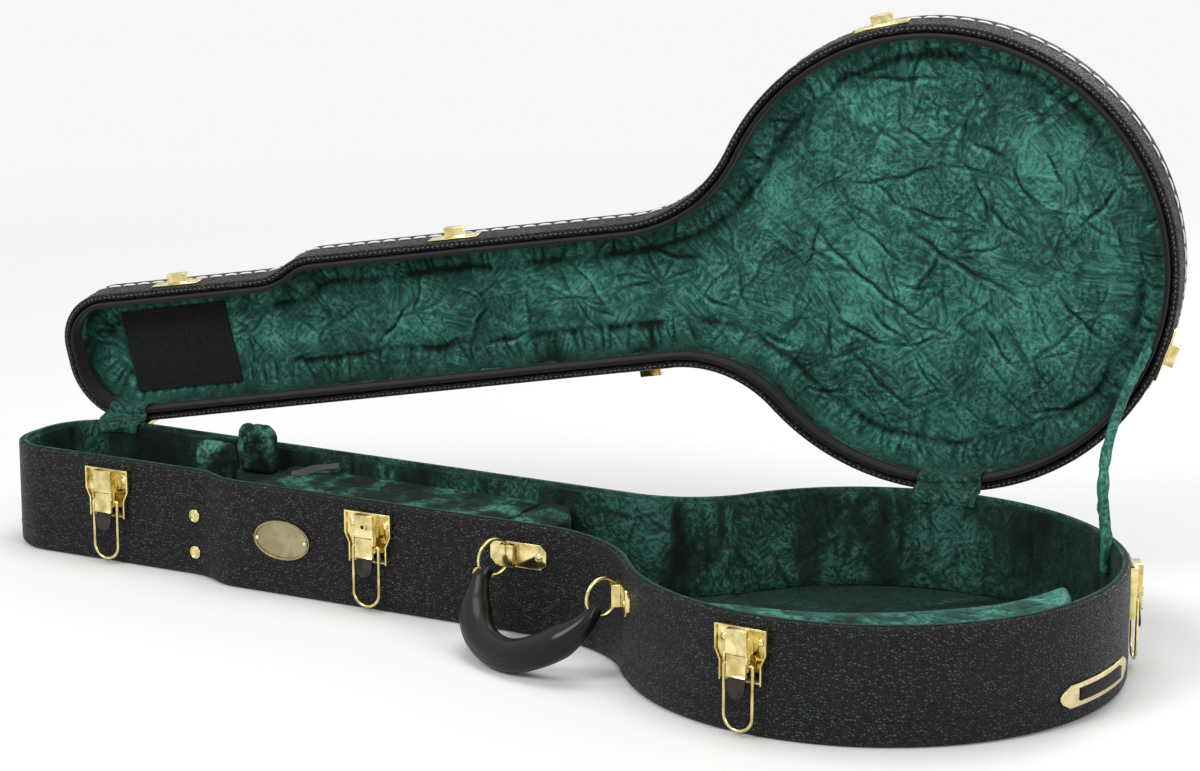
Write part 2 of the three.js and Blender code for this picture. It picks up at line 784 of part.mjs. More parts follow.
function hingePin(x) {
  const pin = new THREE.CylinderGeometry(hingePinRadius, hingePinRadius, hingeLength, roundSides);
  return pin.rotateZ(Math.PI / 2).translate(x, hingeY, hingeZ);
}

for (const [name, x] of [["head", headHingeX], ["body", bodyHingeX]]) {
  bankCase.add(
    piece(`${name}_hinge_base_leaf`, hingeLeaf(x, false), gold),
    piece(`${name}_hinge_pin`, hingePin(x), gold),
  );
  lidContent.add(piece(`${name}_hinge_lid_leaf`, hingeLeaf(x, true), gold));
}

// Takes a point or a direction of the closed lid to where it is with the lid open.
function openedTurn(direction) {
  return direction.clone().applyAxisAngle(new THREE.Vector3(1, 0, 0), -lidOpenAngle);
}

function openedUp(point) {
  const arm = new THREE.Vector3(0, hingeY, hingeZ);
  return openedTurn(point.clone().sub(arm)).add(arm);
}

// Plush cover inside a hinge: a cloth strip from the base's lining over both rims to the lid's lining.
function hingeCover(centre, radius, middleX, width) {
  const half = width / 2 / radius;
  const middle = Math.acos((middleX - centre.x) / radius);
  const gap = seatGap * 2;
  const path = [
    [liningInset + gap, liningTop - coverDrop, false],
    [liningInset + gap, liningTop + gap, false],
    [wallThickness, baseDepth + gap, false],
    [rimBevel, baseDepth + gap, false],
    [valanceOuter, rim - valanceReach - gap - coverThickness, true],
    [valanceInner, rim - valanceReach - gap - coverThickness, true],
    [valanceInner + gap + coverThickness, rim, true],
    [valanceInner + gap + coverThickness, valanceTop + coverLift, true],
  ];
  const loops = [];
  for (let i = 0; i <= platePatchSteps; i++) {
    const angle = middle + half * (1 - (2 * i) / platePatchSteps);
    const station = { centre, radius, side: 1, angle };
    const spine = path.map(([inset, z, onLid]) => {
      const point = raise(stationPoint(station, inset), z);
      return onLid ? openedUp(point) : point;
    });
    const facing = raise(polar(angle), 0);
    const face = spine.map((point, k) => {
      const before = spine[Math.max(k - 1, 0)];
      const after = spine[Math.min(k + 1, spine.length - 1)];
      const run = after.clone().sub(before).normalize();
      const normal = new THREE.Vector3().crossVectors(run, new THREE.Vector3().crossVectors(up, facing));
      return point.clone().addScaledVector(normal.normalize(), coverThickness);
    });
    loops.push([...spine, ...face.reverse()]);
  }
  return solidFromLoops(loops);
}

bankCase.add(
  piece("head_hinge_cover", hingeCover(headCorner, rearCornerRadius, headHingeX, headCoverWidth), plush),
  piece("body_hinge_cover", hingeCover(new THREE.Vector2(), bodyRadius, bodyHingeX, bodyCoverWidth), plush),
);

// Latches

function latchOutline(margin) {
  const wide = latchHalfWidth - margin;
  const slim = latchLowerHalfWidth - margin;
  const top = latchTop - margin;
  return [
    [-wide, top], [-wide, latchShoulder], [-slim, latchWaist], [-slim, latchBottom],
    [slim, latchBottom], [slim, latchWaist], [wide, latchShoulder], [wide, top],
  ];
}

function latchPlate() {
  const tray = cut(
    plateOf(latchOutline(0), -wallSink, latchFlange),
    plateOf(latchOutline(latchSheet).map(([x, y]) => [x, y > latchBottom ? y : y - latchSheet]),
      latchSheet, latchFlange * 2),
  );
  const box = block(-lockBoxHalfWidth, lockBoxHalfWidth, lockBoxBottom, lockBoxTop, 0, lockBoxStand);
  const parts = [tray, box];
  for (const side of [-1, 1]) {
    const near = side * (lockBoxHalfWidth - seatGap);
    const far = side * (lockBoxHalfWidth + earThickness);
    const [left, right] = [Math.min(near, far), Math.max(near, far)];
    const low = leverPivotStand - earRadius;
    const high = leverPivotStand + earRadius;
    parts.push(block(left, right, leverPivotHeight, lockBoxBottom + earRadius, low, high));
    const eye = new THREE.CylinderGeometry(earRadius, earRadius, right - left, roundSides);
    parts.push(eye.rotateZ(Math.PI / 2).translate((left + right) / 2, leverPivotHeight, leverPivotStand));
    parts.push(domeAt(side * plateRivetAcross, plateRivetHeightAbove, latchSheet - seatGap,
      plateRivetRadius, plateRivetHeight + seatGap));
  }
  const boreRadius = leverPinRadius + leverPinClearance;
  const bore = rodAlongX(leverPivotHeight, leverPivotStand, latchHalfWidth, boreRadius);
  return cut(join(...parts), bore);
}

// The lever and bail are drawn about the lever's pivot.
const leverHalfWidth = lockBoxHalfWidth - seatGap - leverClearance;

function sideProfile(points, halfWidth) {
  const shape = new THREE.Shape(points.map(([y, z]) => new THREE.Vector2(-z, y)));
  const body = new THREE.ExtrudeGeometry(shape, { depth: halfWidth * 2, bevelEnabled: false });
  return body.translate(0, 0, -halfWidth).rotateY(Math.PI / 2);
}

function latchLever() {
  const back = leverSkin - leverThickness;
  const face = sideProfile([
    [leverTopRise, back], [leverTopRise, leverSkin], [-leverFaceLength + leverFlare, leverSkin],
    [-leverFaceLength, leverSkin + leverFlare], [-leverFaceLength - leverFlare, leverSkin],
    [-leverFaceLength, back],
  ], leverHalfWidth);
  const tongueEnd = leverFaceLength + tongueLength;
  const tongue = plateOf([
    [-tongueHalfWidth, -leverFaceLength + leverFlare], [-tongueHalfWidth, -tongueEnd + tongueHalfWidth],
    ...[1, 2, 3, 4, 5].map((i) => {
      const spot = polar(Math.PI * (1 + i / 6));
      return [tongueHalfWidth * spot.x, tongueHalfWidth * spot.y - tongueEnd + tongueHalfWidth];
    }),
    [tongueHalfWidth, -tongueEnd + tongueHalfWidth], [tongueHalfWidth, -leverFaceLength + leverFlare],
  ], back, back + cheekThickness);
  const lean = Math.atan(tongueLean / tongueLength);
  tongue.translate(0, leverFaceLength, 0).rotateX(-lean).translate(0, -leverFaceLength, 0);
  const parts = [face, tongue, rodAlongX(0, 0, lockBoxHalfWidth + earThickness, leverPinRadius)];
  for (const side of [-1, 1]) {
    const outer = side * leverHalfWidth;
    const inner = side * (leverHalfWidth - cheekThickness);
    const [left, right] = [Math.min(inner, outer), Math.max(inner, outer)];
    parts.push(block(left, right, -cheekLength, cheekRise, -cheekDepth, 0));
  }
  return join(...parts);
}

class BailPath extends THREE.Curve {
  getPoint(t, target = new THREE.Vector3()) {
    const tip = leverHalfWidth + seatGap;
    const bend = bailHalfWidth - tip;
    const leg = bailLength - bailHalfWidth;
    const arc = Math.PI * bailHalfWidth;
    const total = 2 * (bend + leg) + arc;
    const run = t * total;
    const half = total / 2;
    const side = run < half ? -1 : 1;
    const s = run < half ? run : total - run;
    if (s < bend) return target.set(side * (tip + s), 0, 0);
    if (s < bend + leg) return target.set(side * bailHalfWidth, -(s - bend), 0);
    const angle = (s - bend - leg) / bailHalfWidth;
    return target.set(side * bailHalfWidth * Math.cos(angle), -leg - bailHalfWidth * Math.sin(angle), 0);
  }
}

function wireAlong(path, radius, steps) {
  const circle = new THREE.Shape();
  for (let i = 0; i < wireSides; i++) {
    const spot = polar((Math.PI * 2 * i) / wireSides).multiplyScalar(radius);
    if (i === 0) circle.moveTo(spot.x, spot.y);
    else circle.lineTo(spot.x, spot.y);
  }
  return new THREE.ExtrudeGeometry(circle, { steps, extrudePath: path, bevelEnabled: false });
}

function latchAt(name, seat) {
  const plate = piece(`${name}_latch_plate`, seated(latchPlate(), seat), gold);
  const lever = piece(`${name}_latch_lever`, latchLever(), gold);
  lever.position.set(0, leverPivotHeight, leverPivotStand);
  const bail = piece(`${name}_latch_bail`, wireAlong(new BailPath(), bailWireRadius, bailSteps), gold);
  bail.position.set(0, leverPivotHeight - bailPivotDrop, leverPivotStand - bailPivotBack);
  place(bankCase, seat, plate, lever, bail);
}

function catchAt(name, seat) {
  const strip = block(-catchHalfWidth, catchHalfWidth, rim + catchLow, rim + catchHigh, -wallSink, catchSheet);
  const hook = block(-hookHalfWidth, hookHalfWidth, rim + hookLow, rim + hookLow + hookLip, 0, hookStand);
  const lip = block(-hookHalfWidth, hookHalfWidth, rim + hookLow, rim + catchHigh,
    hookStand - catchSheet, hookStand);
  place(lidContent, seat, piece(`${name}_catch`, seated(join(strip, hook, lip), seat), gold));
}

const latchSeats = {
  head: onHeadFront(headLatchAlong),
  neck: onNeckFront(neckLatchAlong),
  front: onBody(frontLatchAngle),
  end: onBody(endLatchAngle),
  waist: onNeckRear(waistLatchAlong),
};
for (const [name, seat] of Object.entries(latchSeats)) {
  latchAt(name, seat);
  catchAt(name, seat);
}
place(bankCase, latchSeats.neck, piece("lock_cylinder", discAt(
  0, (lockBoxTop + lockBoxBottom) / 2, lockBoxStand + seatGap, lockBoxStand + seatGap + lockCylinderProud,
  lockCylinderRadius), gold));

// Handle: a padded grip on two rings, each of which runs through a staple's box
const wireStand = ringWallGap + ringWireRadius;

function ringRoot(seat) {
  return new THREE.Vector3(0, stapleCentreHeight, wireStand).applyMatrix4(seat);
}

const neckStaple = onNeckFront(stapleAlong);
const bodyStaple = onBody(angleOf(waistCentre(outFront, neckFrontReach, frontWaistRadius)) + stapleTurn);
const neckRoot = ringRoot(neckStaple);
const bodyRoot = ringRoot(bodyStaple);
const handleLine = bodyRoot.clone().sub(neckRoot);
const handleSpan = handleLine.length();
handleLine.normalize();
const handleOut = new THREE.Vector3().crossVectors(handleLine, up);
const neckRing = neckRoot.clone().addScaledVector(handleOut, ringRadius);
const handleDown = handleOut.clone().multiplyScalar(Math.sin(handleRestTilt));
handleDown.addScaledVector(up, -Math.cos(handleRestTilt));
const handleSide = new THREE.Vector3().crossVectors(handleLine, handleDown);
const handleFrame = new THREE.Matrix4().makeBasis(handleLine, handleDown, handleSide);
handleFrame.setPosition(neckRing);

function ringWire(wireRadius) {
  const ring = new THREE.TorusGeometry(ringRadius, wireRadius, wireSides, ringSteps);
  return ring.rotateY(Math.PI / 2);
}

function staple(seat, ringCentre, longSide) {
  const half = stapleHeight / 2;
  const long = longSide * (stapleBoxHalfWidth + stapleLongTab);
  const short = -longSide * (stapleBoxHalfWidth + stapleShortTab);
  const bevel = half / 2;
  const strap = plateOf([
    [long, -bevel], [long, bevel], [long - longSide * bevel, half], [short + longSide * bevel, half],
    [short, bevel], [short, -bevel], [short + longSide * bevel, -half], [long - longSide * bevel, -half],
  ].map(([x, y]) => [x, y + stapleCentreHeight]), -wallSink, stapleSheet);
  const boxHalf = stapleBoxHeight / 2;
  const box = block(-stapleBoxHalfWidth, stapleBoxHalfWidth, stapleCentreHeight - boxHalf,
    stapleCentreHeight + boxHalf, -wallSink, stapleBoxStand);
  const screw = domeAt(long - longSide * stapleScrewEdge, stapleCentreHeight, stapleSheet - seatGap,
    stapleScrewRadius, stapleScrewHeight);
  const tunnel = ringWire(ringWireRadius + ringTunnelClearance).applyMatrix4(
    new THREE.Matrix4().makeBasis(handleLine, handleOut, up.clone().negate())
      .setPosition(ringCentre).premultiply(seat.clone().invert()),
  );
  return seated(cut(join(strap, box, screw), tunnel), seat);
}

const bodyRing = neckRing.clone().addScaledVector(handleLine, handleSpan);
place(bankCase, neckStaple, piece("neck_staple", staple(neckStaple, neckRing, 1), gold));
place(bankCase, bodyStaple, piece("body_staple", staple(bodyStaple, bodyRing, 1), gold));

function grip() {
  const spanShares = [0, 0.0, 0.03, 0.1, 0.24, 0.42, 0.6, 0.78, 0.91, 0.98, 1, 1];
  const depthShares = [0.19, 0.27, 0.42, 0.64, 0.88, 1, 0.99, 0.82, 0.6, 0.4, 0.27, 0.19];
  const points = spanShares.map((share, i) => {
    const end = i === 0 || i === spanShares.length - 1;
    const reach = Math.max(gripDepth * depthShares[i], ringRadius + gripEndWrap);
    const depth = end ? ringRadius - gripEndWrap : reach;
    return new THREE.Vector3(handleSpan * share, depth, 0);
  });
  const path = new THREE.CatmullRomCurve3(points, false, "centripetal");
  const loops = [];
  for (let i = 0; i <= gripSteps; i++) {
    const t = i / gripSteps;
    const middle = path.getPointAt(t);
    const run = path.getTangentAt(t);
    const inward = new THREE.Vector3(-run.y, run.x, 0);
    const fullness = Math.min(1, gripFullShare * Math.sin(Math.PI * t) ** gripFullPower);
    const thick = gripEndThickness + (gripThickness - gripEndThickness) * fullness;
    const wide = gripEndWidth + (gripWidth - gripEndWidth) * fullness;
    const loop = [];
    for (let k = 0; k < gripSides; k++) {
      const spot = polar((Math.PI * 2 * k) / gripSides);
      const point = middle.clone().addScaledVector(inward, (thick / 2) * spot.x);
      point.z += (wide / 2) * spot.y;
      loop.push(point);
    }
    loops.push(loop);
  }
  const bore = ringWire(ringWireRadius + gripHoleClearance);
  const farBore = bore.clone().translate(handleSpan, 0, 0);
  return cut(solidFromLoops(loops), bore, farBore);
}

const nearRing = piece("neck_handle_ring", ringWire(ringWireRadius), gold);
const farRing = piece("body_handle_ring", ringWire(ringWireRadius), gold);
farRing.position.x = handleSpan;
place(bankCase, handleFrame, piece("handle_grip", grip(), gripLeather), nearRing, farRing);

// Rivets, oval plate and end plate

function rivetAt(name, seat, height) {
  const rivet = domeAt(0, height, 0, rivetRadius, rivetHeight + seatGap);
  place(bankCase, seat, piece(name, seated(rivet, seat), gold));
}

rivetAt("cradle_rivet_upper", onStepHollow(cradleRivetTurn), cradleRivetHigh);
rivetAt("cradle_rivet_lower", onStepHollow(cradleRivetTurn), cradleRivetLow);
rivetAt("end_block_rivet_upper", onNeckFront(blockRivetAlong), blockRivetHigh);
rivetAt("end_block_rivet_lower", onNeckFront(blockRivetAlong), blockRivetLow);

function ovalPlate() {
  const shape = new THREE.Shape();
  shape.absellipse(0, ovalHeight, ovalHalfWidth, ovalHalfHeight, 0, Math.PI * 2);
  const plate = new THREE.ExtrudeGeometry(shape, {
    depth: ovalThickness, bevelEnabled: false, curveSegments: roundSides,
  });
  plate.translate(0, 0, seatGap);
  const pins = [-1, 1].map((side) => {
    return domeAt(side * ovalPinReach, ovalHeight, ovalThickness, ovalPinRadius, ovalPinHeight + seatGap);
  });
  return join(plate, ...pins);
}

place(bankCase, onNeckFront(ovalAlong), piece("oval_plate", ovalPlate(), brass));

// A strip bent round the body, whose half height follows a list of shares.
function bentStrip(from, to, halfHeight, inner, outer, shares) {
  const loops = shares.map(([place, share]) => {
    const angle = from + (to - from) * place;
    const half = halfHeight * share;
    return [[inner, -half], [outer, -half], [outer, half], [inner, half]].map(([stand, z]) => {
      return raise(polar(angle).multiplyScalar(bodyRadius + stand), endPlateHeight + z);
    });
  });
  return solidFromLoops(loops);
}

const endPlateShares = [
  [0, 0.12], [0.025, 0.5], [0.06, 0.72], [0.1, 1], [0.2, 1], [0.3, 1], [0.4, 1], [0.5, 1],
  [0.6, 1], [0.7, 1], [0.8, 1], [0.9, 1], [0.94, 0.72], [0.975, 0.5], [1, 0.12],
];
const evenShares = [0, 0.17, 0.33, 0.5, 0.67, 0.83, 1].map((share) => [share, 1]);
const endPlateFace = seatGap + endPlateThickness;
bankCase.add(
  piece("end_plate", cut(bentStrip(endPlateFrom, endPlateTo, endPlateHalfHeight, -wallSink, endPlateFace,
    endPlateShares), wallBlock), brass),
  piece("end_plate_inlay", bentStrip(inlayFrom, inlayTo, inlayHalfHeight, endPlateFace + seatGap,
    endPlateFace + seatGap + inlayThickness, evenShares), blackFabric),
);

// Stay strap
function stayStrap() {
  const baseReach = bodyRadius - liningInset - strapLiningGap;
  const lidReach = bodyRadius - valanceInner - strapLiningGap;
  const onBase = (z) => raise(polar(strapBaseAngle).multiplyScalar(baseReach), z);
  const onLid = (s) => openedUp(raise(polar(strapLidAngle).multiplyScalar(lidReach), rim + s));
  const low = onBase(strapBaseHigh);
  const high = onLid(strapLidLow);
  const between = [0.25, 0.5, 0.75].map((share) => {
    const bow = strapBow * Math.sin(Math.PI * share);
    return low.clone().lerp(high, share).add(new THREE.Vector3(-bow, -bow / 2, 0));
  });
  const path = new THREE.CatmullRomCurve3([onBase(strapBaseLow), low, ...between, high, onLid(strapLidHigh)]);
  const baseFacing = raise(polar(strapBaseAngle), 0);
  const lidFacing = openedTurn(raise(polar(strapLidAngle), 0));
  const loops = [];
  for (let i = 0; i <= wireSteps; i++) {
    const middle = path.getPointAt(i / wireSteps);
    const run = path.getTangentAt(i / wireSteps);
    const flat = baseFacing.clone().lerp(lidFacing, i / wireSteps);
    flat.addScaledVector(run, -run.dot(flat)).normalize();
    const side = new THREE.Vector3().crossVectors(run, flat);
    loops.push([[1, 1], [1, -1], [-1, -1], [-1, 1]].map(([a, b]) => {
      const point = middle.clone().addScaledVector(side, (a * strapWidth) / 2);
      return point.addScaledVector(flat, (b * strapThickness) / 2);
    }));
  }
  return solidFromLoops(loops);
}

bankCase.add(piece("stay_strap", stayStrap(), plush));

export default bankCase;
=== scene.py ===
import json
import math
import random

import bmesh
import bpy
import numpy as np
from mathutils import Matrix, Vector, noise
from mathutils.geometry import delaunay_2d_cdt

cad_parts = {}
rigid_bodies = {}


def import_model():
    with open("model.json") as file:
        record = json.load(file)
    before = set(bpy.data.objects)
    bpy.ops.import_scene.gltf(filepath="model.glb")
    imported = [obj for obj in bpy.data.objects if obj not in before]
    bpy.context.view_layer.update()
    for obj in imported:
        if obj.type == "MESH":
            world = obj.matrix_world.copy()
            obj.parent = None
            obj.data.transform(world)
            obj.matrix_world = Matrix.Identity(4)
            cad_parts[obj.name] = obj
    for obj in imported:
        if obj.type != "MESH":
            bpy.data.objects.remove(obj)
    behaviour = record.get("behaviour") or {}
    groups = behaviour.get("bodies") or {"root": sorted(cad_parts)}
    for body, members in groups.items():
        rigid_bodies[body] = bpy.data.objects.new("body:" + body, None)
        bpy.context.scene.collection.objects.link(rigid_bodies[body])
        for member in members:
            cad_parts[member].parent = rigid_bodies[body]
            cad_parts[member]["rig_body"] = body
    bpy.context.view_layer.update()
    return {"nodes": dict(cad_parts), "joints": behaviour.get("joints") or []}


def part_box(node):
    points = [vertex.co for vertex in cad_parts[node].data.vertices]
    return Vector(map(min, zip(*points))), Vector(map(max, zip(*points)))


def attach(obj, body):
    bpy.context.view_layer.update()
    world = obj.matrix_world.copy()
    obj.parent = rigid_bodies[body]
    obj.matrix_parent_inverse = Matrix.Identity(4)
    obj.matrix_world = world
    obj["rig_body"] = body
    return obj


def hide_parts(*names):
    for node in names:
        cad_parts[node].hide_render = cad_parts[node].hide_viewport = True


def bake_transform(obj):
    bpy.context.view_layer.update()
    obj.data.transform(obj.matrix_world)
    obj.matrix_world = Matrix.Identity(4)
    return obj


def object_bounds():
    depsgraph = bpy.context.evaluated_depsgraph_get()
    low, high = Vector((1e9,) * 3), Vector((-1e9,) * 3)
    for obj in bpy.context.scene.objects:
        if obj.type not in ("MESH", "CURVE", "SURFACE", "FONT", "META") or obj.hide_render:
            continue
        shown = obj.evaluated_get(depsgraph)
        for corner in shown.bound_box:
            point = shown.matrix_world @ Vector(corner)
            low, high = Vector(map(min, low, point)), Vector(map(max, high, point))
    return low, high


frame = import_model()
mm = 0.001
up = Vector((0, 0, 1))

# shader nodes


# sets a node's inputs, to plain values or to other nodes' outputs
def setInputs(tree, node, inputs):
    for label, value in inputs.items():
        if isinstance(value, bpy.types.NodeSocket):
            tree.links.new(value, node.inputs[label])
        else:
            node.inputs[label].default_value = value


def addNode(tree, kind, inputs=None, **settings):
    node = tree.nodes.new("ShaderNode" + kind)
    for label, value in settings.items():
        setattr(node, label, value)
    setInputs(tree, node, inputs or {})
    return node


def mathNode(tree, operation, first, second, clamp=False):
    return addNode(tree, "Math", {0: first, 1: second}, operation=operation, use_clamp=clamp).outputs[0]


def vectorNode(tree, operation, inputs):
    node = addNode(tree, "VectorMath", inputs, operation=operation)
    return node.outputs["Value" if operation in ("DOT_PRODUCT", "LENGTH") else "Vector"]


def noiseNode(tree, vector, scale, detail=3, roughness=0.55, distortion=0.0, output="Fac"):
    inputs = {
        "Vector": vector, "Scale": scale, "Detail": detail, "Roughness": roughness,
        "Distortion": distortion,
    }
    return addNode(tree, "TexNoise", inputs).outputs[output]


def cellNode(tree, vector, scale, output, randomness=1, feature="F1"):
    inputs = {"Vector": vector, "Scale": scale, "Randomness": randomness}
    return addNode(tree, "TexVoronoi", inputs, feature=feature).outputs[output]


def rangeNode(tree, value, low, high, newLow=0.0, newHigh=1.0):
    inputs = {"Value": value, "From Min": low, "From Max": high, "To Min": newLow, "To Max": newHigh}
    return addNode(tree, "MapRange", inputs, interpolation_type="SMOOTHSTEP").outputs["Result"]


def rampNode(tree, value, *stops):
    ramp = addNode(tree, "ValToRGB", {"Fac": value})
    elements = ramp.color_ramp.elements
    while len(elements) < len(stops):
        elements.new(0.5)
    for element, (place, color) in zip(elements, stops):
        element.position = place
        element.color = (*color, 1)
    return ramp.outputs["Color"]


def bumpNode(tree, height, strength, distance):
    inputs = {"Height": height, "Strength": strength, "Distance": distance}
    return addNode(tree, "Bump", inputs).outputs["Normal"]


def objectPlace(tree):
    return addNode(tree, "TexCoord").outputs["Object"]


# coordinates pushed about by a noise, by up to reach
def warpedPlace(tree, place, scale, detail, reach):
    push = noiseNode(tree, place, scale, detail, 0.5, 0.0, "Color")
    return vectorNode(tree, "MULTIPLY_ADD", {0: push, 1: (reach, reach, reach), 2: place})


# camera, lamps and sky

camera = {
    "lens": 102.22, "azimuth": 18.99, "elevation": 13.21, "distance": 2.97834,
    "target": (-0.30958, 0.24079, 0.150),
}
studio = {
    "skyColor": (0.90, 0.91, 0.93, 1), "skyStrength": 0.55, "seenColor": (0.93, 0.93, 0.93, 1),
    # name, place, target, size and power
    "lamps": (
        ("keyLamp", (-1.6, -2.3, 2.4), (-0.25, 0.1, 0.15), 1.5, 62),
        ("fillLamp", (2.3, -1.6, 1.5), (-0.1, 0.0, 0.1), 1.6, 30),
        ("topLamp", (-0.3, 0.3, 3.0), (-0.3, 0.1, 0.0), 1.8, 34),
        ("backLamp", (0.6, 2.6, 1.8), (-0.2, 0.2, 0.2), 1.4, 26),
    ),
}


def setCamera():
    azimuth = math.radians(camera["azimuth"])
    elevation = math.radians(camera["elevation"])
    back = Vector((math.sin(azimuth) * math.cos(elevation), -math.cos(azimuth) * math.cos(elevation),
                   math.sin(elevation)))
    data = bpy.data.cameras.new("photoCamera")
    data.lens = camera["lens"]
    data.sensor_width = 36
    data.sensor_fit = "HORIZONTAL"
    data.clip_end = 50
    photoCamera = bpy.data.objects.new("photoCamera", data)
    photoCamera.location = Vector(camera["target"]) + back * camera["distance"]
    photoCamera.rotation_euler = back.to_track_quat("Z", "Y").to_euler()
    bpy.context.scene.collection.objects.link(photoCamera)
    bpy.context.scene.camera = photoCamera


def setLamps():
    for name, place, target, size, power in studio["lamps"]:
        data = bpy.data.lights.new(name, "AREA")
        data.shape = "DISK"
        data.size = size
        data.energy = power
        lamp = bpy.data.objects.new(name, data)
        lamp.location = place
        lamp.rotation_euler = (Vector(place) - Vector(target)).to_track_quat("Z", "Y").to_euler()
        bpy.context.scene.collection.objects.link(lamp)


# what is seen, also in gold and leather, meets a pale sky; the sky that lights the case is dimmer
def setSky():
    world = bpy.data.worlds.new("studioSky")
    world.use_nodes = True
    tree = world.node_tree
    tree.nodes.clear()
    rays = addNode(tree, "LightPath").outputs
    seen = mathNode(tree, "MAXIMUM", rays["Is Camera Ray"], rays["Is Glossy Ray"])
    seen = mathNode(tree, "MAXIMUM", seen, rays["Is Transmission Ray"])
    dim = addNode(tree, "Background", {"Color": studio["skyColor"], "Strength": studio["skyStrength"]})
    pale = addNode(tree, "Background", {"Color": studio["seenColor"], "Strength": 1})
    mix = addNode(tree, "MixShader", {0: seen, 1: dim.outputs[0], 2: pale.outputs[0]})
    addNode(tree, "OutputWorld", {"Surface": mix.outputs[0]})
    bpy.context.scene.world = world


setCamera()
setLamps()
setSky()
bpy.context.scene.view_settings.view_transform = "Standard"
print("camera and lamps are set")

# shader groups that several finishes share

grain = {
    "random": 0.92, "warp": 190, "warpDetail": 2, "warpReach": 0.0024, "crease": (0.02, 0.26),
    # above shifts the cells upwards, to find the upper edges that get a painted highlight
    "above": (0.0002, 0.0001, 0.00075), "fine": 1700, "patch": 26, "dull": 0.35,
}
pile = {
    "warp": 20, "warpDetail": 3, "warpReach": 0.009, "aside": (0.37, 0.11, 0.53), "finer": 2.1,
    "along": 0.97, "mix": 46, "broad": 15, "fibre": 1300, "strawTone": 0.44, "broadTone": 0.27,
    "fibreTone": 0.3, "paintedCreaseShade": 0.38, "creaseDepth": 0.3,
}


def newGroup(name, inputs, outputs):
    group = bpy.data.node_groups.new(name, "ShaderNodeTree")
    for label, default in inputs.items():
        socket = group.interface.new_socket(label, in_out="INPUT", socket_type="NodeSocketFloat")
        socket.default_value = default
    for label in outputs:
        group.interface.new_socket(label, in_out="OUTPUT", socket_type="NodeSocketFloat")
    return group, group.nodes.new("NodeGroupInput").outputs, group.nodes.new("NodeGroupOutput")


# pebble grain of leather: rounded cells, painted shade in the creases, painted highlights on some upper
# edges
def makePebbleGroup():
    inputs = {"Cells": 480.0, "Softness": 0.5}
    group, given, end = newGroup("pebbleGrain", inputs, ("Height", "Crease", "ToneShadeAndGlint"))
    coordinates = objectPlace(group)
    warped = warpedPlace(group, coordinates, grain["warp"], grain["warpDetail"], grain["warpReach"])
    pebbles = []
    for place in (warped, vectorNode(group, "ADD", {0: warped, 1: grain["above"]})):
        edge = cellNode(group, place, given["Cells"], "Distance", grain["random"], "DISTANCE_TO_EDGE")
        pebbles.append(rangeNode(group, edge, *grain["crease"]))
    pebble, higher = pebbles
    color = cellNode(group, warped, given["Cells"], "Color", grain["random"])
    chance = addNode(group, "SeparateXYZ", {0: color}).outputs[0]
    fine = noiseNode(group, coordinates, grain["fine"], 2)
    patch = rangeNode(group, noiseNode(group, coordinates, grain["patch"], 4, 0.6), 0.3, 0.7, 0.72, 1.0)
    # random lighter pebble tops, with painted shade in the creases between them
    dull = mathNode(group, "MULTIPLY", mathNode(group, "MULTIPLY", pebble, chance), grain["dull"])
    # painted highlight on some upper edges, where the cells shifted upwards are already in a crease
    paintedGlint = mathNode(group, "SUBTRACT", pebble, higher, True)
    paintedGlint = mathNode(group, "MULTIPLY", paintedGlint, rangeNode(group, chance, 0.2, 0.8))
    setInputs(group, end, {
        "Height": mathNode(group, "ADD", pebble, mathNode(group, "MULTIPLY", fine, given["Softness"])),
        "Crease": mathNode(group, "SUBTRACT", 1.0, pebble),
        "ToneShadeAndGlint": mathNode(group, "MULTIPLY", mathNode(group, "ADD", dull, paintedGlint), patch),
    })
    return group


# straws of pile that all lie one way inside each patch of cloth
def strawsIn(group, place, patches, streaks):
    color = cellNode(group, place, patches, "Color")
    heading = vectorNode(group, "SUBTRACT", {0: color, 1: (0.5, 0.5, 0.5)})
    heading = vectorNode(group, "NORMALIZE", {0: heading})
    run = vectorNode(group, "DOT_PRODUCT", {0: place, 1: heading})
    run = mathNode(group, "MULTIPLY", run, pile["along"])
    run = vectorNode(group, "SCALE", {0: heading, "Scale": run})
    return noiseNode(group, vectorNode(group, "SUBTRACT", {0: place, 1: run}), streaks, 3, 0.6)
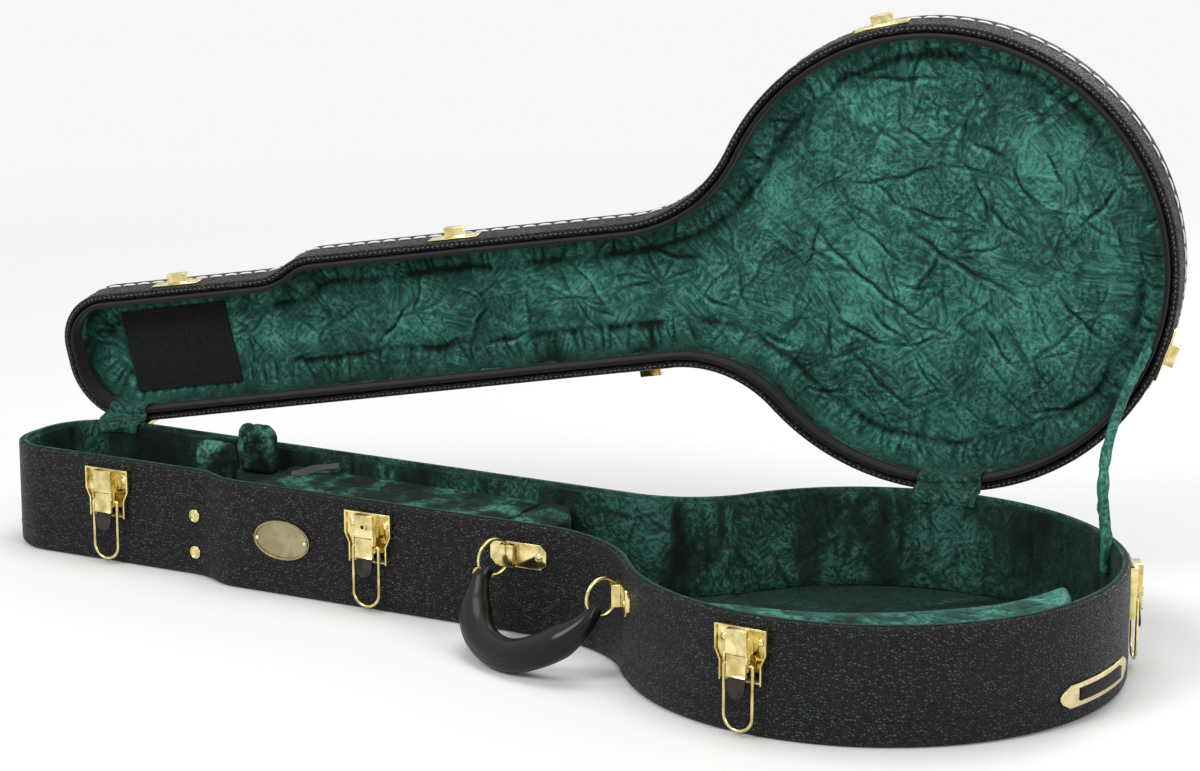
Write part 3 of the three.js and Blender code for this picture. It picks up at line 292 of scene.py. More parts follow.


# crushed pile: straw patches, random broad lights and darks, and painted shade in short creases between
# some patches
def makePileGroup():
    inputs = {"Patches": 40.0, "Streaks": 320.0}
    group, given, end = newGroup("crushedPile", inputs, ("Height", "Tone", "Fibre"))
    coordinates = objectPlace(group)
    bent = warpedPlace(group, coordinates, pile["warp"], pile["warpDetail"], pile["warpReach"])
    moved = vectorNode(group, "ADD", {0: bent, 1: pile["aside"]})
    finer = mathNode(group, "MULTIPLY", given["Patches"], pile["finer"])
    mix = rangeNode(group, noiseNode(group, coordinates, pile["mix"]), 0.42, 0.58)
    large = mathNode(group, "MULTIPLY", strawsIn(group, bent, given["Patches"], given["Streaks"]), mix)
    small = mathNode(group, "MULTIPLY", strawsIn(group, moved, finer, given["Streaks"]),
                     mathNode(group, "SUBTRACT", 1.0, mix))
    straws = mathNode(group, "ADD", large, small)
    edge = cellNode(group, bent, given["Patches"], "Distance", 1, "DISTANCE_TO_EDGE")
    some = rangeNode(group, noiseNode(group, moved, given["Patches"], 2), 0.5, 0.6)
    crease = mathNode(group, "MULTIPLY", rangeNode(group, edge, 0.0, 0.09, 1.0, 0.0), some)
    fibre = noiseNode(group, coordinates, pile["fibre"], 2, 0.7)
    tone = mathNode(group, "ADD", rangeNode(group, straws, 0.33, 0.67, 0.0, pile["strawTone"]),
                    rangeNode(group, noiseNode(group, moved, pile["broad"], 3, 0.6), 0.33, 0.68, 0.0,
                              pile["broadTone"]))
    tone = mathNode(group, "ADD", tone, rangeNode(group, fibre, 0.3, 0.7, 0.0, pile["fibreTone"]))
    # painted shade in the creases between patches
    creaseShadeFactor = mathNode(group, "SUBTRACT", 1.0, mathNode(group, "MULTIPLY", crease, pile["paintedCreaseShade"]))
    sunk = mathNode(group, "MULTIPLY", crease, pile["creaseDepth"])
    setInputs(group, end, {
        "Height": mathNode(group, "SUBTRACT", straws, sunk),
        "Tone": mathNode(group, "MULTIPLY", tone, creaseShadeFactor),
        "Fibre": fibre,
    })
    return group


# hairlines and smudges on plated metal
def makeSmudgeGroup():
    group, given, end = newGroup("smudges", {"Size": 60.0}, ("Smudge", "Hairline"))
    coordinates = objectPlace(group)
    smudge = noiseNode(group, coordinates, given["Size"], 4, 0.6, 0.5)
    drawn = addNode(group, "Mapping", {"Vector": coordinates, "Scale": (60, 60, 2600)}).outputs[0]
    setInputs(group, end, {
        "Smudge": rangeNode(group, smudge, 0.35, 0.7),
        "Hairline": noiseNode(group, drawn, 1.0, 2, 0.5),
    })
    return group


pebbleGroup = makePebbleGroup()
pileGroup = makePileGroup()
smudgeGroup = makeSmudgeGroup()

# finishes


def newFinish(name):
    finish = bpy.data.materials.new(name)
    finish.use_nodes = True
    tree = finish.node_tree
    return finish, tree, tree.nodes["Principled BSDF"]


def placeGroup(tree, group, **values):
    return addNode(tree, "Group", values, node_tree=group).outputs


def leatherFinish(name, look):
    finish, tree, bsdf = newFinish(name)
    given = placeGroup(tree, pebbleGroup, Cells=look["cells"], Softness=look["softness"])
    setInputs(tree, bsdf, {
        "Base Color": rampNode(tree, given["ToneShadeAndGlint"], (0.0, look["dark"]), (0.3, look["middle"]),
                               (0.85, look["light"])),
        "Roughness": rangeNode(tree, given["Crease"], 0.0, 1.0, look["roughness"],
                               look["roughness"] + 0.25),
        "Specular IOR Level": look["specular"], "Coat Weight": look["coat"], "Coat Roughness": 0.2,
        "Normal": bumpNode(tree, given["Height"], look["strength"], look["depth"]),
    })
    return finish


# plush darkened by each piece's shade attribute: painted shade where above zero, painted highlight where
# below zero, with some random tone
def plushFinish(name, look):
    finish, tree, bsdf = newFinish(name)
    given = placeGroup(tree, pileGroup, Patches=look["patches"], Streaks=look["streaks"])
    shadeAttribute = addNode(tree, "Attribute", attribute_name="toneAndPaintedLight").outputs["Fac"]
    tone = mathNode(tree, "MULTIPLY", given["Tone"], mathNode(tree, "SUBTRACT", 1.0, shadeAttribute))
    height = mathNode(tree, "ADD", given["Height"], mathNode(tree, "MULTIPLY", given["Fibre"], 0.12))
    setInputs(tree, bsdf, {
        "Base Color": rampNode(tree, tone, (0.02, look["dark"]), (0.42, look["middle"]),
                               (0.95, look["light"])),
        "Roughness": rangeNode(tree, tone, 0.0, 1.0, 0.9, 0.55), "Specular IOR Level": 0.2,
        "Sheen Weight": look["sheen"], "Sheen Roughness": 0.4, "Sheen Tint": (0.45, 0.85, 0.72, 1),
        "Normal": bumpNode(tree, height, 0.9, look["depth"]),
    })
    return finish


def metalFinish(name, look):
    finish, tree, bsdf = newFinish(name)
    given = placeGroup(tree, smudgeGroup, Size=look["size"])
    setInputs(tree, bsdf, {
        "Base Color": rampNode(tree, given["Smudge"], (0.0, look["color"]), (1.0, look["worn"])),
        "Roughness": rangeNode(tree, given["Smudge"], 0.0, 1.0, look["roughness"], look["dull"]),
        "Metallic": 1, "Normal": bumpNode(tree, given["Hairline"], look["strength"], 0.0001),
    })
    return finish


def clothFinish(name, look):
    finish, tree, bsdf = newFinish(name)
    weave = noiseNode(tree, objectPlace(tree), look["weave"], 3, 0.75)
    setInputs(tree, bsdf, {
        "Base Color": rampNode(tree, weave, (0.3, look["dark"]), (0.7, look["light"])),
        "Roughness": 0.9, "Sheen Weight": look["sheen"], "Specular IOR Level": 0.2,
        "Normal": bumpNode(tree, weave, look["strength"], 0.0006),
    })
    return finish


leatherette = leatherFinish("leatherette", {
    "cells": 380, "softness": 0.2, "dark": (0.0025, 0.0026, 0.0028), "middle": (0.0093, 0.0113, 0.0132),
    "light": (0.057, 0.068, 0.077), "roughness": 0.34, "specular": 0.24, "coat": 0.0, "strength": 0.9,
    "depth": 0.0011,
})
gripLeather = leatherFinish("gripLeather", {
    "cells": 900, "softness": 0.4, "dark": (0.0022, 0.0023, 0.0025), "middle": (0.0045, 0.0047, 0.005),
    "light": (0.011, 0.0118, 0.0126), "roughness": 0.3, "specular": 0.1, "coat": 0.35, "strength": 0.3,
    "depth": 0.0003,
})
plush = plushFinish("plush", {
    "patches": 19, "streaks": 330, "dark": (0.0016, 0.0088, 0.0068), "middle": (0.0185, 0.089, 0.067),
    "light": (0.078, 0.315, 0.233), "sheen": 0.12, "depth": 0.001,
})
# a darker copy of the same plush: painted shade for the walls inside the case, and the hinge covers
shadedWallPlush = plushFinish("shadedWallPlush", {
    "patches": 26, "streaks": 330, "dark": (0.0016, 0.005, 0.0042), "middle": (0.0075, 0.032, 0.0245),
    "light": (0.052, 0.2, 0.15), "sheen": 0.12, "depth": 0.0014,
})
# a darker copy again, with less sheen: painted shade for the floor and padded forms, down in the case
shadedFloorPlush = plushFinish("shadedFloorPlush", {
    "patches": 30, "streaks": 330, "dark": (0.0012, 0.0045, 0.0036), "middle": (0.0062, 0.027, 0.0205),
    "light": (0.05, 0.19, 0.14), "sheen": 0.035, "depth": 0.0016,
})
gold = metalFinish("gold", {
    "size": 70, "color": (0.87, 0.75, 0.37), "worn": (0.5, 0.385, 0.135), "roughness": 0.12, "dull": 0.22,
    "strength": 0.03,
})
agedBrass = metalFinish("agedBrass", {
    "size": 55, "color": (0.40, 0.345, 0.20), "worn": (0.29, 0.245, 0.14), "roughness": 0.36, "dull": 0.5,
    "strength": 0.12,
})
paleBrass = metalFinish("paleBrass", {
    "size": 90, "color": (0.80, 0.70, 0.42), "worn": (0.66, 0.55, 0.30), "roughness": 0.24, "dull": 0.36,
    "strength": 0.06,
})
# dark metal: a painted reflection on the levers' tongues, and painted shade in the keyhole
darkReflectionAndShade = metalFinish("darkReflectionAndShade", {
    "size": 80, "color": (0.055, 0.05, 0.042), "worn": (0.035, 0.032, 0.028), "roughness": 0.16,
    "dull": 0.3, "strength": 0.05,
})
blackCloth = clothFinish("blackCloth", {
    "weave": 900, "dark": (0.003, 0.003, 0.0034), "light": (0.014, 0.014, 0.015), "sheen": 0.12,
    "strength": 0.5,
})
blackFelt = clothFinish("blackFelt", {
    "weave": 420, "dark": (0.0022, 0.0023, 0.0026), "light": (0.014, 0.0145, 0.0155), "sheen": 0.1,
    "strength": 0.8,
})
ribbonCloth = clothFinish("ribbonCloth", {
    "weave": 1500, "dark": (0.018, 0.022, 0.022), "light": (0.05, 0.056, 0.056), "sheen": 0.2,
    "strength": 0.4,
})
whiteThread = clothFinish("whiteThread", {
    "weave": 2600, "dark": (0.7, 0.7, 0.68), "light": (0.92, 0.92, 0.9), "sheen": 0.1, "strength": 0.5,
})
greyThread = clothFinish("greyThread", {
    "weave": 2600, "dark": (0.06, 0.06, 0.062), "light": (0.17, 0.17, 0.172), "sheen": 0.1,
    "strength": 0.5,
})
blackThread = clothFinish("blackThread", {
    "weave": 2600, "dark": (0.006, 0.006, 0.0065), "light": (0.022, 0.022, 0.024), "sheen": 0.1,
    "strength": 0.5,
})
print("finishes are made")

# plan of the case, in millimetres and degrees

plan = {
    "bodyRadius": 200, "neckRearReach": 66.7, "neckFrontReach": 60.3, "headFrontReach": 44.3,
    "rearWaistRadius": 98, "frontWaistRadius": 128, "rearCornerRadius": 60, "frontCornerRadius": 46,
    "caseReach": 824, "stepReach": 592, "stepLength": 56.6, "frontTaper": 0.82, "spacing": 3.6,
}
shell = {
    "baseDepth": 93.3, "lidDepth": 42, "rim": 94.1, "wall": 6, "panel": 6, "lidPanel": 7, "edge": 5.5,
    "lidEdge": 6.5, "rimRise": 1.6, "hingeY": 203.2, "hingeZ": 84.4, "openAngle": 84.6,
    # room for the lid's leaf, which folds against the base's wall when the lid is closed
    "leafX": 12.5, "leafHalf": 24, "leafLow": 86.8, "leafFromY": 195, "leafRoom": 0.4,
}


def polar(angle):
    return np.array((math.cos(angle), math.sin(angle)))


def angleOf(vector):
    return math.atan2(vector[1], vector[0])


cornerAlong = plan["caseReach"] - plan["rearCornerRadius"]
cornerAcross = plan["neckRearReach"] - plan["rearCornerRadius"]
cornerY = plan["bodyRadius"] - plan["rearCornerRadius"]
cornerX = -math.sqrt(cornerAlong ** 2 + cornerAcross ** 2 - cornerY ** 2)
skew = math.atan2(cornerY, -cornerX) - math.atan2(cornerAcross, cornerAlong)
frontSkew = skew - math.radians(plan["frontTaper"])
alongNeck = np.array((-math.cos(skew), math.sin(skew)))
acrossNeck = np.array((math.sin(skew), math.cos(skew)))
alongFront = np.array((-math.cos(frontSkew), math.sin(frontSkew)))
outFront = np.array((-math.sin(frontSkew), -math.cos(frontSkew)))


def neckPoint(along, across):
    return alongNeck * along + acrossNeck * across


def frontPoint(along, out):
    return alongFront * along + outFront * out


def waistCentre(normal, reach, radius):
    tangent = np.array((-normal[1], normal[0]))
    if tangent[0] > 0:
        tangent = -tangent
    run = math.sqrt((plan["bodyRadius"] + radius) ** 2 - (reach + radius) ** 2)
    return normal * (reach + radius) + tangent * run


def outlineOfCase():
    rearWaist = waistCentre(acrossNeck, plan["neckRearReach"], plan["rearWaistRadius"])
    frontWaist = waistCentre(outFront, plan["neckFrontReach"], plan["frontWaistRadius"])
    reach = np.array((plan["caseReach"], plan["headFrontReach"])) - plan["frontCornerRadius"]
    frontCorner = np.linalg.solve(np.array((alongNeck, outFront)), reach)
    half = plan["stepLength"] / 2
    turn = 2 * math.atan((plan["neckFrontReach"] - plan["headFrontReach"]) / plan["stepLength"])
    bend = plan["stepLength"] / (2 * math.sin(turn))
    arcs = (
        (np.zeros(2), plan["bodyRadius"], angleOf(frontWaist), angleOf(rearWaist), 1),
        (rearWaist, plan["rearWaistRadius"], angleOf(rearWaist) + math.pi, angleOf(-acrossNeck), -1),
        (np.array((cornerX, cornerY)), plan["rearCornerRadius"], angleOf(acrossNeck), angleOf(alongNeck),
         1),
        (frontCorner, plan["frontCornerRadius"], angleOf(alongNeck), angleOf(outFront), 1),
        (frontPoint(plan["stepReach"] + half, plan["headFrontReach"] + bend), bend,
         angleOf(-outFront), angleOf(-outFront) - turn, -1),
        (frontPoint(plan["stepReach"] - half, plan["neckFrontReach"] - bend), bend,
         angleOf(outFront) - turn, angleOf(outFront), 1),
        (frontWaist, plan["frontWaistRadius"], angleOf(-outFront), angleOf(frontWaist) + math.pi, -1),
    )
    places, normals = [], []
    for centre, radius, start, end, side in arcs:
        sweep = side * (((end - start) * side) % (2 * math.pi))
        count = max(3, math.ceil(abs(sweep) * radius / plan["spacing"]))
        for i in range(count + 1):
            angle = start + sweep * i / count
            places.append(centre + polar(angle) * radius)
            normals.append(polar(angle) * side)
    fullPlaces, fullNormals = [], []
    for i, place in enumerate(places):
        nextPlace = places[(i + 1) % len(places)]
        gap = np.linalg.norm(nextPlace - place)
        if gap < 0.05:
            continue
        pieces = max(1, math.ceil(gap / plan["spacing"]))
        for k in range(pieces):
            fullPlaces.append(place + (nextPlace - place) * k / pieces)
            fullNormals.append(normals[i])
    return np.array(fullPlaces), np.array(fullNormals)


outline, outlineNormals = outlineOfCase()
outlineSteps = np.linalg.norm(np.roll(outline, -1, axis=0) - outline, axis=1)
outlineRun = np.concatenate(((0,), np.cumsum(outlineSteps)))
outlineLength = outlineRun[-1]


def insetOutline(inset):
    return outline - outlineNormals * inset


# place and outward normal at a distance along the outline, pushed in by inset
def outlineAt(run, inset=0.0):
    run = run % outlineLength
    index = min(int(np.searchsorted(outlineRun, run, side="right")) - 1, len(outline) - 1)
    share = (run - outlineRun[index]) / max(outlineSteps[index], 1e-9)
    after = (index + 1) % len(outline)
    normal = outlineNormals[index] * (1 - share) + outlineNormals[after] * share
    normal = normal / np.linalg.norm(normal)
    return outline[index] * (1 - share) + outline[after] * share - normal * inset, normal


# a closed lid's point, in millimetres, to its place with the lid open
def openedUp(points):
    angle = -math.radians(shell["openAngle"])
    turned = np.array(points, float)
    y, z = turned[:, 1] - shell["hingeY"], turned[:, 2] - shell["hingeZ"]
    turned[:, 1] = shell["hingeY"] + y * math.cos(angle) - z * math.sin(angle)
    turned[:, 2] = shell["hingeZ"] + y * math.sin(angle) + z * math.cos(angle)
    return turned


# angles all round, in equal steps
def turns(count):
    return np.linspace(0, 2 * math.pi, count + 1)[:-1]


# a node's box corners and its middle, in millimetres
def boxOf(node):
    low, high = (Vector(corner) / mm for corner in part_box(node))
    return low, high, (low + high) / 2


def runAt(path, i):
    return (path[min(i + 1, len(path) - 1)] - path[max(i - 1, 0)]).normalized()


# making pieces


def newPiece(name, mesh):
    piece = bpy.data.objects.new(name, mesh)
    bpy.context.scene.collection.objects.link(piece)
    return piece


def copyOf(node, name):
    return newPiece(name, frame["nodes"][node].data.copy())


# a piece from points in millimetres; those of the lid are given with the lid closed
def makePiece(name, points, faces, finish, body, replaced=(), shade=None):
    points = np.array(points, float)
    if body == "lid":
        points = openedUp(points)
    mesh = bpy.data.meshes.new(name)
    mesh.from_pydata([tuple(p) for p in points * mm], [], faces)
    mesh.update()
    if shade is not None:
        setShade(mesh, shade)
    tidy = bmesh.new()
    tidy.from_mesh(mesh)
    bmesh.ops.recalc_face_normals(tidy, faces=tidy.faces)
    tidy.to_mesh(mesh)
    tidy.free()
    return dress(newPiece(name, mesh), finish, body, replaced)


# painted shade of the plush at each point, painted highlight where below zero, with some random tone
def setShade(mesh, shade):
    layer = mesh.attributes.new("toneAndPaintedLight", "FLOAT", "POINT")
    layer.data.foreach_set("value", np.array(shade, np.float32))


def dress(piece, finish, body, replaced=()):
    mesh = piece.data
    mesh.materials.clear()
    mesh.materials.append(finish)
    mesh.polygons.foreach_set("use_smooth", [True] * len(mesh.polygons))
    mesh.set_sharp_from_angle(angle=math.radians(38))
    if body:
        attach(piece, body)
    if replaced:
        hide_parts(*replaced)
    return piece


def finished(piece):
    flat = bpy.context.evaluated_depsgraph_get()
    flat.update()
    mesh = bpy.data.meshes.new_from_object(piece.evaluated_get(flat))
    piece.modifiers.clear()
    old = piece.data
    piece.data = mesh
    bpy.data.meshes.remove(old)
    return piece


def bevelled(piece, width, segments):
    edge = piece.modifiers.new("bevel", "BEVEL")
    edge.width = width * mm
    edge.segments = segments
    edge.limit_method = "ANGLE"
    edge.angle_limit = math.radians(32)
    return finished(piece)


# faces between the rows of a grid of points, each row with its columns
def loopFaces(rows, columns, closeRows=True, closeColumns=True):
    faces = []
    for i in range(rows if closeRows else rows - 1):
        here, after = i * columns, ((i + 1) % rows) * columns
        for j in range(columns if closeColumns else columns - 1):
            k = (j + 1) % columns
            faces.append((here + j, here + k, after + k, after + j))
    return faces


# a ring that follows the outline; profile is a list of (inset, height)
def ringPoints(profile):
    rings = [np.column_stack((insetOutline(inset), np.full(len(outline), z))) for inset, z in profile]
    return np.stack(rings, axis=1).reshape(-1, 3)


# a closed profile with its corners rounded
def rounded(profile, radius, steps=4):
    result = []
    count = len(profile)
    for i, corner in enumerate(profile):
        corner = np.array(corner, float)
        before = np.array(profile[i - 1], float) - corner
        after = np.array(profile[(i + 1) % count], float) - corner
        reach = min(radius, np.linalg.norm(before) * 0.45, np.linalg.norm(after) * 0.45)
        first = corner + before / np.linalg.norm(before) * reach
        last = corner + after / np.linalg.norm(after) * reach
        for k in range(steps + 1):
            t = k / steps
            result.append(first * (1 - t) ** 2 + corner * 2 * t * (1 - t) + last * t ** 2)
    return result


# a tube of a given radius, or radii, along points
def tubePoints(path, radius, sides=8, flatten=1.0, normal=None):
    path = [Vector(p) for p in path]
    rows = []
    for i, middle in enumerate(path):
        run = runAt(path, i)
        guide = Vector(normal[i]) if normal is not None else up
        if abs(run.dot(guide)) > 0.95:
            guide = Vector((1, 0, 0))
        side = run.cross(guide).normalized()
        lift = side.cross(run)
        size = radius[i] if hasattr(radius, "__len__") else radius
        for k in range(sides):
            angle = 2 * math.pi * k / sides
            rows.append(middle + side * math.cos(angle) * size + lift * math.sin(angle) * size * flatten)
    return rows


def tubeFaces(rows, sides, offset=0, closed=False):
    faces = [tuple(offset + v for v in face) for face in loopFaces(rows, sides, closed, True)]
    if not closed:
        faces.append(tuple(offset + k for k in range(sides))[::-1])
        faces.append(tuple(offset + (rows - 1) * sides + k for k in range(sides)))
    return faces


# a curve through the points, with its points spaced evenly
def smoothPath(points, count):
    dense = []
    padded = [points[0] * 2 - points[1]] + points + [points[-1] * 2 - points[-2]]
    for i in range(1, len(padded) - 2):
        p = padded[i - 1:i + 3]
        t = [0.0]
        for a, b in zip(p, p[1:]):
            t.append(t[-1] + max((b - a).length, 1e-4) ** 0.5)
        for k in range(24):
            x = t[1] + (t[2] - t[1]) * k / 24
            a1 = p[0] * ((t[1] - x) / (t[1] - t[0])) + p[1] * ((x - t[0]) / (t[1] - t[0]))
            a2 = p[1] * ((t[2] - x) / (t[2] - t[1])) + p[2] * ((x - t[1]) / (t[2] - t[1]))
            a3 = p[2] * ((t[3] - x) / (t[3] - t[2])) + p[3] * ((x - t[2]) / (t[3] - t[2]))
            b1 = a1 * ((t[2] - x) / (t[2] - t[0])) + a2 * ((x - t[0]) / (t[2] - t[0]))
            b2 = a2 * ((t[3] - x) / (t[3] - t[1])) + a3 * ((x - t[1]) / (t[3] - t[1]))
            dense.append(b1 * ((t[2] - x) / (t[2] - t[1])) + b2 * ((x - t[1]) / (t[2] - t[1])))
    dense.append(points[-1])
    lengths = [0.0]
    for a, b in zip(dense, dense[1:]):
        lengths.append(lengths[-1] + (b - a).length)
    result = []
    for i in range(count):
        goal = lengths[-1] * i / (count - 1)
        k = min(int(np.searchsorted(lengths, goal, side="right")) - 1, len(dense) - 2)
        share = (goal - lengths[k]) / max(lengths[k + 1] - lengths[k], 1e-9)
        result.append(dense[k].lerp(dense[k + 1], min(share, 1)))
    return result


# creases as (x, y, x, y, width, depth), spread by chance over a box
def creaseLines(count, box, length, seed, width=(2.0, 4.0), depth=(0.8, 2.0), heading=None):
    chance = random.Random(seed)
    lines = []
    for _ in range(count):
        x, y = chance.uniform(box[0], box[2]), chance.uniform(box[1], box[3])
        angle = chance.uniform(0, math.pi) if heading is None else heading + chance.gauss(0, 0.35)
        size = chance.uniform(*length)
        dx, dy = math.cos(angle) * size / 2, math.sin(angle) * size / 2
        lines.append((x - dx, y - dy, x + dx, y + dy, chance.uniform(*width), chance.uniform(*depth)))
    return lines


# creases that run out from centres
def starLines(centres, seed):
    chance = random.Random(seed)
    lines = []
    for x, y, reach in centres:
        for k in range(chance.randint(6, 9)):
            angle = chance.uniform(0, 2 * math.pi)
            size = reach * chance.uniform(0.4, 1.0)
            lines.append((x, y, x + math.cos(angle) * size, y + math.sin(angle) * size,
                          chance.uniform(0.9, 1.7), chance.uniform(0.5, 1.3)))
    return lines


# short pleats that run out towards the border
def pleatLines(spacing, inner, outer, seed):
    chance = random.Random(seed)
    lines = []
    run = 0.0
    while run < outlineLength:
        first, _ = outlineAt(run, outer + chance.uniform(-2, 3))
        last, _ = outlineAt(run + chance.gauss(0, 7), inner + chance.uniform(-9, 7))
        lines.append((*first, *last, chance.uniform(1.0, 2.0), chance.uniform(0.4, 1.3)))
        run += spacing * chance.uniform(0.4, 1.7)
    return lines


# a crease's bend, its fade towards the ends, the puffs beside it, a painted highlight on one lip and
# painted shade in its core
creaseShape = {
    "bow": 0.045, "wander": 0.9, "wanderStep": 0.21, "fade": 0.7, "puff": 0.6, "puffAway": 2.1,
    "puffWidth": 1.5, "coreWidth": 0.75, "coreShade": 0.7, "lipAway": 2.2, "lipWidth": 1.3, "lipHighlight": 0.3,
    "lipMost": 0.5,
}


# how far the cloth sinks or puffs at each spot, and its painted shade: shade in crease cores, less a
# painted highlight on one lip
def creaseHeights(spots, lines):
    look = creaseShape
    heights, shades, paintedLipHighlights = np.zeros(len(spots)), np.zeros(len(spots)), np.zeros(len(spots))
    for x0, y0, x1, y1, width, depth in lines:
        run = np.array((x1 - x0, y1 - y0))
        length = np.linalg.norm(run)
        run = run / length
        away = spots - np.array((x0, y0))
        t = away @ run / length
        bow = np.sin(np.clip(t, 0, 1) * math.pi) * length * look["bow"]
        bow += np.sin(t * length * look["wanderStep"] + x0) * look["wander"]
        across = away @ np.array((-run[1], run[0])) - bow
        near = np.clip(1 - (2 * t - 1) ** 2, 0, 1) ** look["fade"] * ((t > 0) & (t < 1))
        sunk = np.exp(-(across / width) ** 2)
        puffed = np.exp(-((np.abs(across) - look["puffAway"] * width) / (look["puffWidth"] * width)) ** 2)
        heights += near * depth * (look["puff"] * puffed - sunk)
        core = near * np.exp(-(across / (width * look["coreWidth"])) ** 2)
        shades = np.maximum(shades, core * min(1.0, depth * look["coreShade"]))
        lip = near * np.exp(-((across - look["lipAway"] * width) / (look["lipWidth"] * width)) ** 2)
        paintedLipHighlights = np.maximum(paintedLipHighlights, lip * min(look["lipMost"], depth * look["lipHighlight"]))
    return heights, shades - paintedLipHighlights * (1 - shades)


def softNoise(points, scale, seed):
    shift = Vector((seed * 7.1, seed * 3.7, seed * 1.3))
    return np.array([noise.fractal(Vector(p) * scale + shift, 0.7, 2.1, 4) for p in points])


# shells: leatherette over the base and the lid


# side is 1 for the base, whose rim is its upper edge, and -1 for the lid
def coverShell(name, body, replaced, inside, rim, flat, edge, side, extra=()):
    half, rise = shell["wall"] / 2, shell["rimRise"]
    arc = [(half + half * math.cos(a), rim - side * rise + side * rise * math.sin(a))
           for a in np.linspace(0, math.pi, 9)]
    corner = [(edge * (1 - math.sin(a)), flat + side * edge * (1 - math.cos(a)))
              for a in np.linspace(0, math.pi / 2, 7)]
    profile = [(shell["wall"], inside), *arc, *extra, *corner[::-1]]
    rows, columns = len(outline), len(profile)
    faces = loopFaces(rows, columns, True, False)
    faces += [tuple(i * columns + k for i in range(rows)) for k in (0, columns - 1)]
    points = ringPoints(profile)
    if side == 1:
        byLeaf = np.abs(points[:, 0] - shell["leafX"]) < shell["leafHalf"]
        byLeaf &= (points[:, 1] > shell["leafFromY"]) & (points[:, 2] > shell["leafLow"] - 0.1)
        points[byLeaf, 1] -= shell["leafRoom"]
    makePiece(name, points, faces, leatherette, body, replaced)


coverShell("base_leatherette", "base", ("base_side_wall", "base_bottom_panel"), shell["panel"],
           shell["baseDepth"], 0, shell["edge"], 1, ((0, shell["leafLow"]), (0, shell["leafLow"] - 0.4)))
lidTop = shell["rim"] + shell["lidDepth"]
coverShell("lid_leatherette", "lid", ("lid_side_wall", "lid_top_panel"), lidTop - shell["lidPanel"],
           shell["rim"], lidTop, shell["lidEdge"], -1)
print("shells are covered")

# rows of stitches round the case; those with a flat of -1 lie on the lid's rim instead of the wall

stitches = {
    "lid_saddle_stitches": {
        "height": 119.5, "pitch": 14.8, "dash": 12.4, "thread": 1.1, "inset": 0.0, "flat": 0,
    },
    "base_stitches": {"height": 19, "pitch": 7.5, "dash": 5.2, "thread": 0.42, "inset": 0.0, "flat": 0},
    "lid_rim_stitches": {
        "height": shell["rim"] + 0.3, "pitch": 4.6, "dash": 2.9, "thread": 0.5, "inset": 3.0, "flat": -1,
    },
}
# how far along each stitch, and how thick there
stitchShape = ((0, 0.25), (0.12, 0.8), (0.32, 1), (0.5, 1), (0.68, 1), (0.88, 0.8), (1, 0.25))


def stitchRow(name, finish, body):
    look = stitches[name]
    thread, flat = look["thread"], look["flat"]
    points, faces = [], []
    count = int(outlineLength / look["pitch"])
    exact = outlineLength / count
    for i in range(count):
        path, guides = [], []
        for share, _ in stitchShape:
            place, normal = outlineAt(exact * i + look["dash"] * share, look["inset"])
            lift = thread * (0.2 + 0.45 * math.sin(math.pi * share))
            path.append((*(place + normal * lift * (1 - abs(flat))), look["height"] + lift * flat))
            guides.append((*(normal * (1 - abs(flat))), flat))
        offset = len(points)
        points += tubePoints(path, [thread * size for _, size in stitchShape], 6, 0.8, guides)
        faces += tubeFaces(len(path), 6, offset)
    makePiece(name, points, faces, finish, body)


stitchRow("lid_saddle_stitches", whiteThread, "lid")
stitchRow("base_stitches", blackThread, "base")
stitchRow("lid_rim_stitches", greyThread, "lid")
print("shells are stitched")

# valance of black cloth inside the lid's rim, with a piping along it

valance = {
    "back": 6.3, "outer": 8.3, "inner": 11.8, "reach": 3.5, "foot": 7, "top": 14, "round": 1.3,
    "piping": 1.5, "pipingIn": 0.4, "pipingHeight": 9.5,
}


def makeValance():
    rim, back, outer, inner = shell["rim"], valance["back"], valance["outer"], valance["inner"]
    section = rounded([
        (back, rim + valance["foot"]), (back, rim + valance["top"]), (inner, rim + valance["top"]),
        (inner, rim - valance["reach"]), (outer, rim - valance["reach"]), (outer, rim + valance["foot"]),
    ], valance["round"], 3)
    piece = makePiece("lid_valance_cloth", ringPoints(section), loopFaces(len(outline), len(section)),
                      blackCloth, "lid", ("lid_valance",))
    thick = valance["piping"]
    along, height = inner - valance["pipingIn"], rim + valance["pipingHeight"]
    piping = [(along + thick * math.cos(a), height + thick * math.sin(a)) for a in turns(8)]
    makePiece("lid_valance_piping", ringPoints(piping), loopFaces(len(outline), len(piping)), blackThread,
              "lid")


makeValance()

# plush linings, in millimetres; the sheets on floor and panel reach under the bands on the walls

lining = {
    "floorTop": 9.0, "sheetInset": 6.8, "wallInset": 9.3, "lidInset": 10, "lidFace": 124.8, "rimLap": 5.4,
}


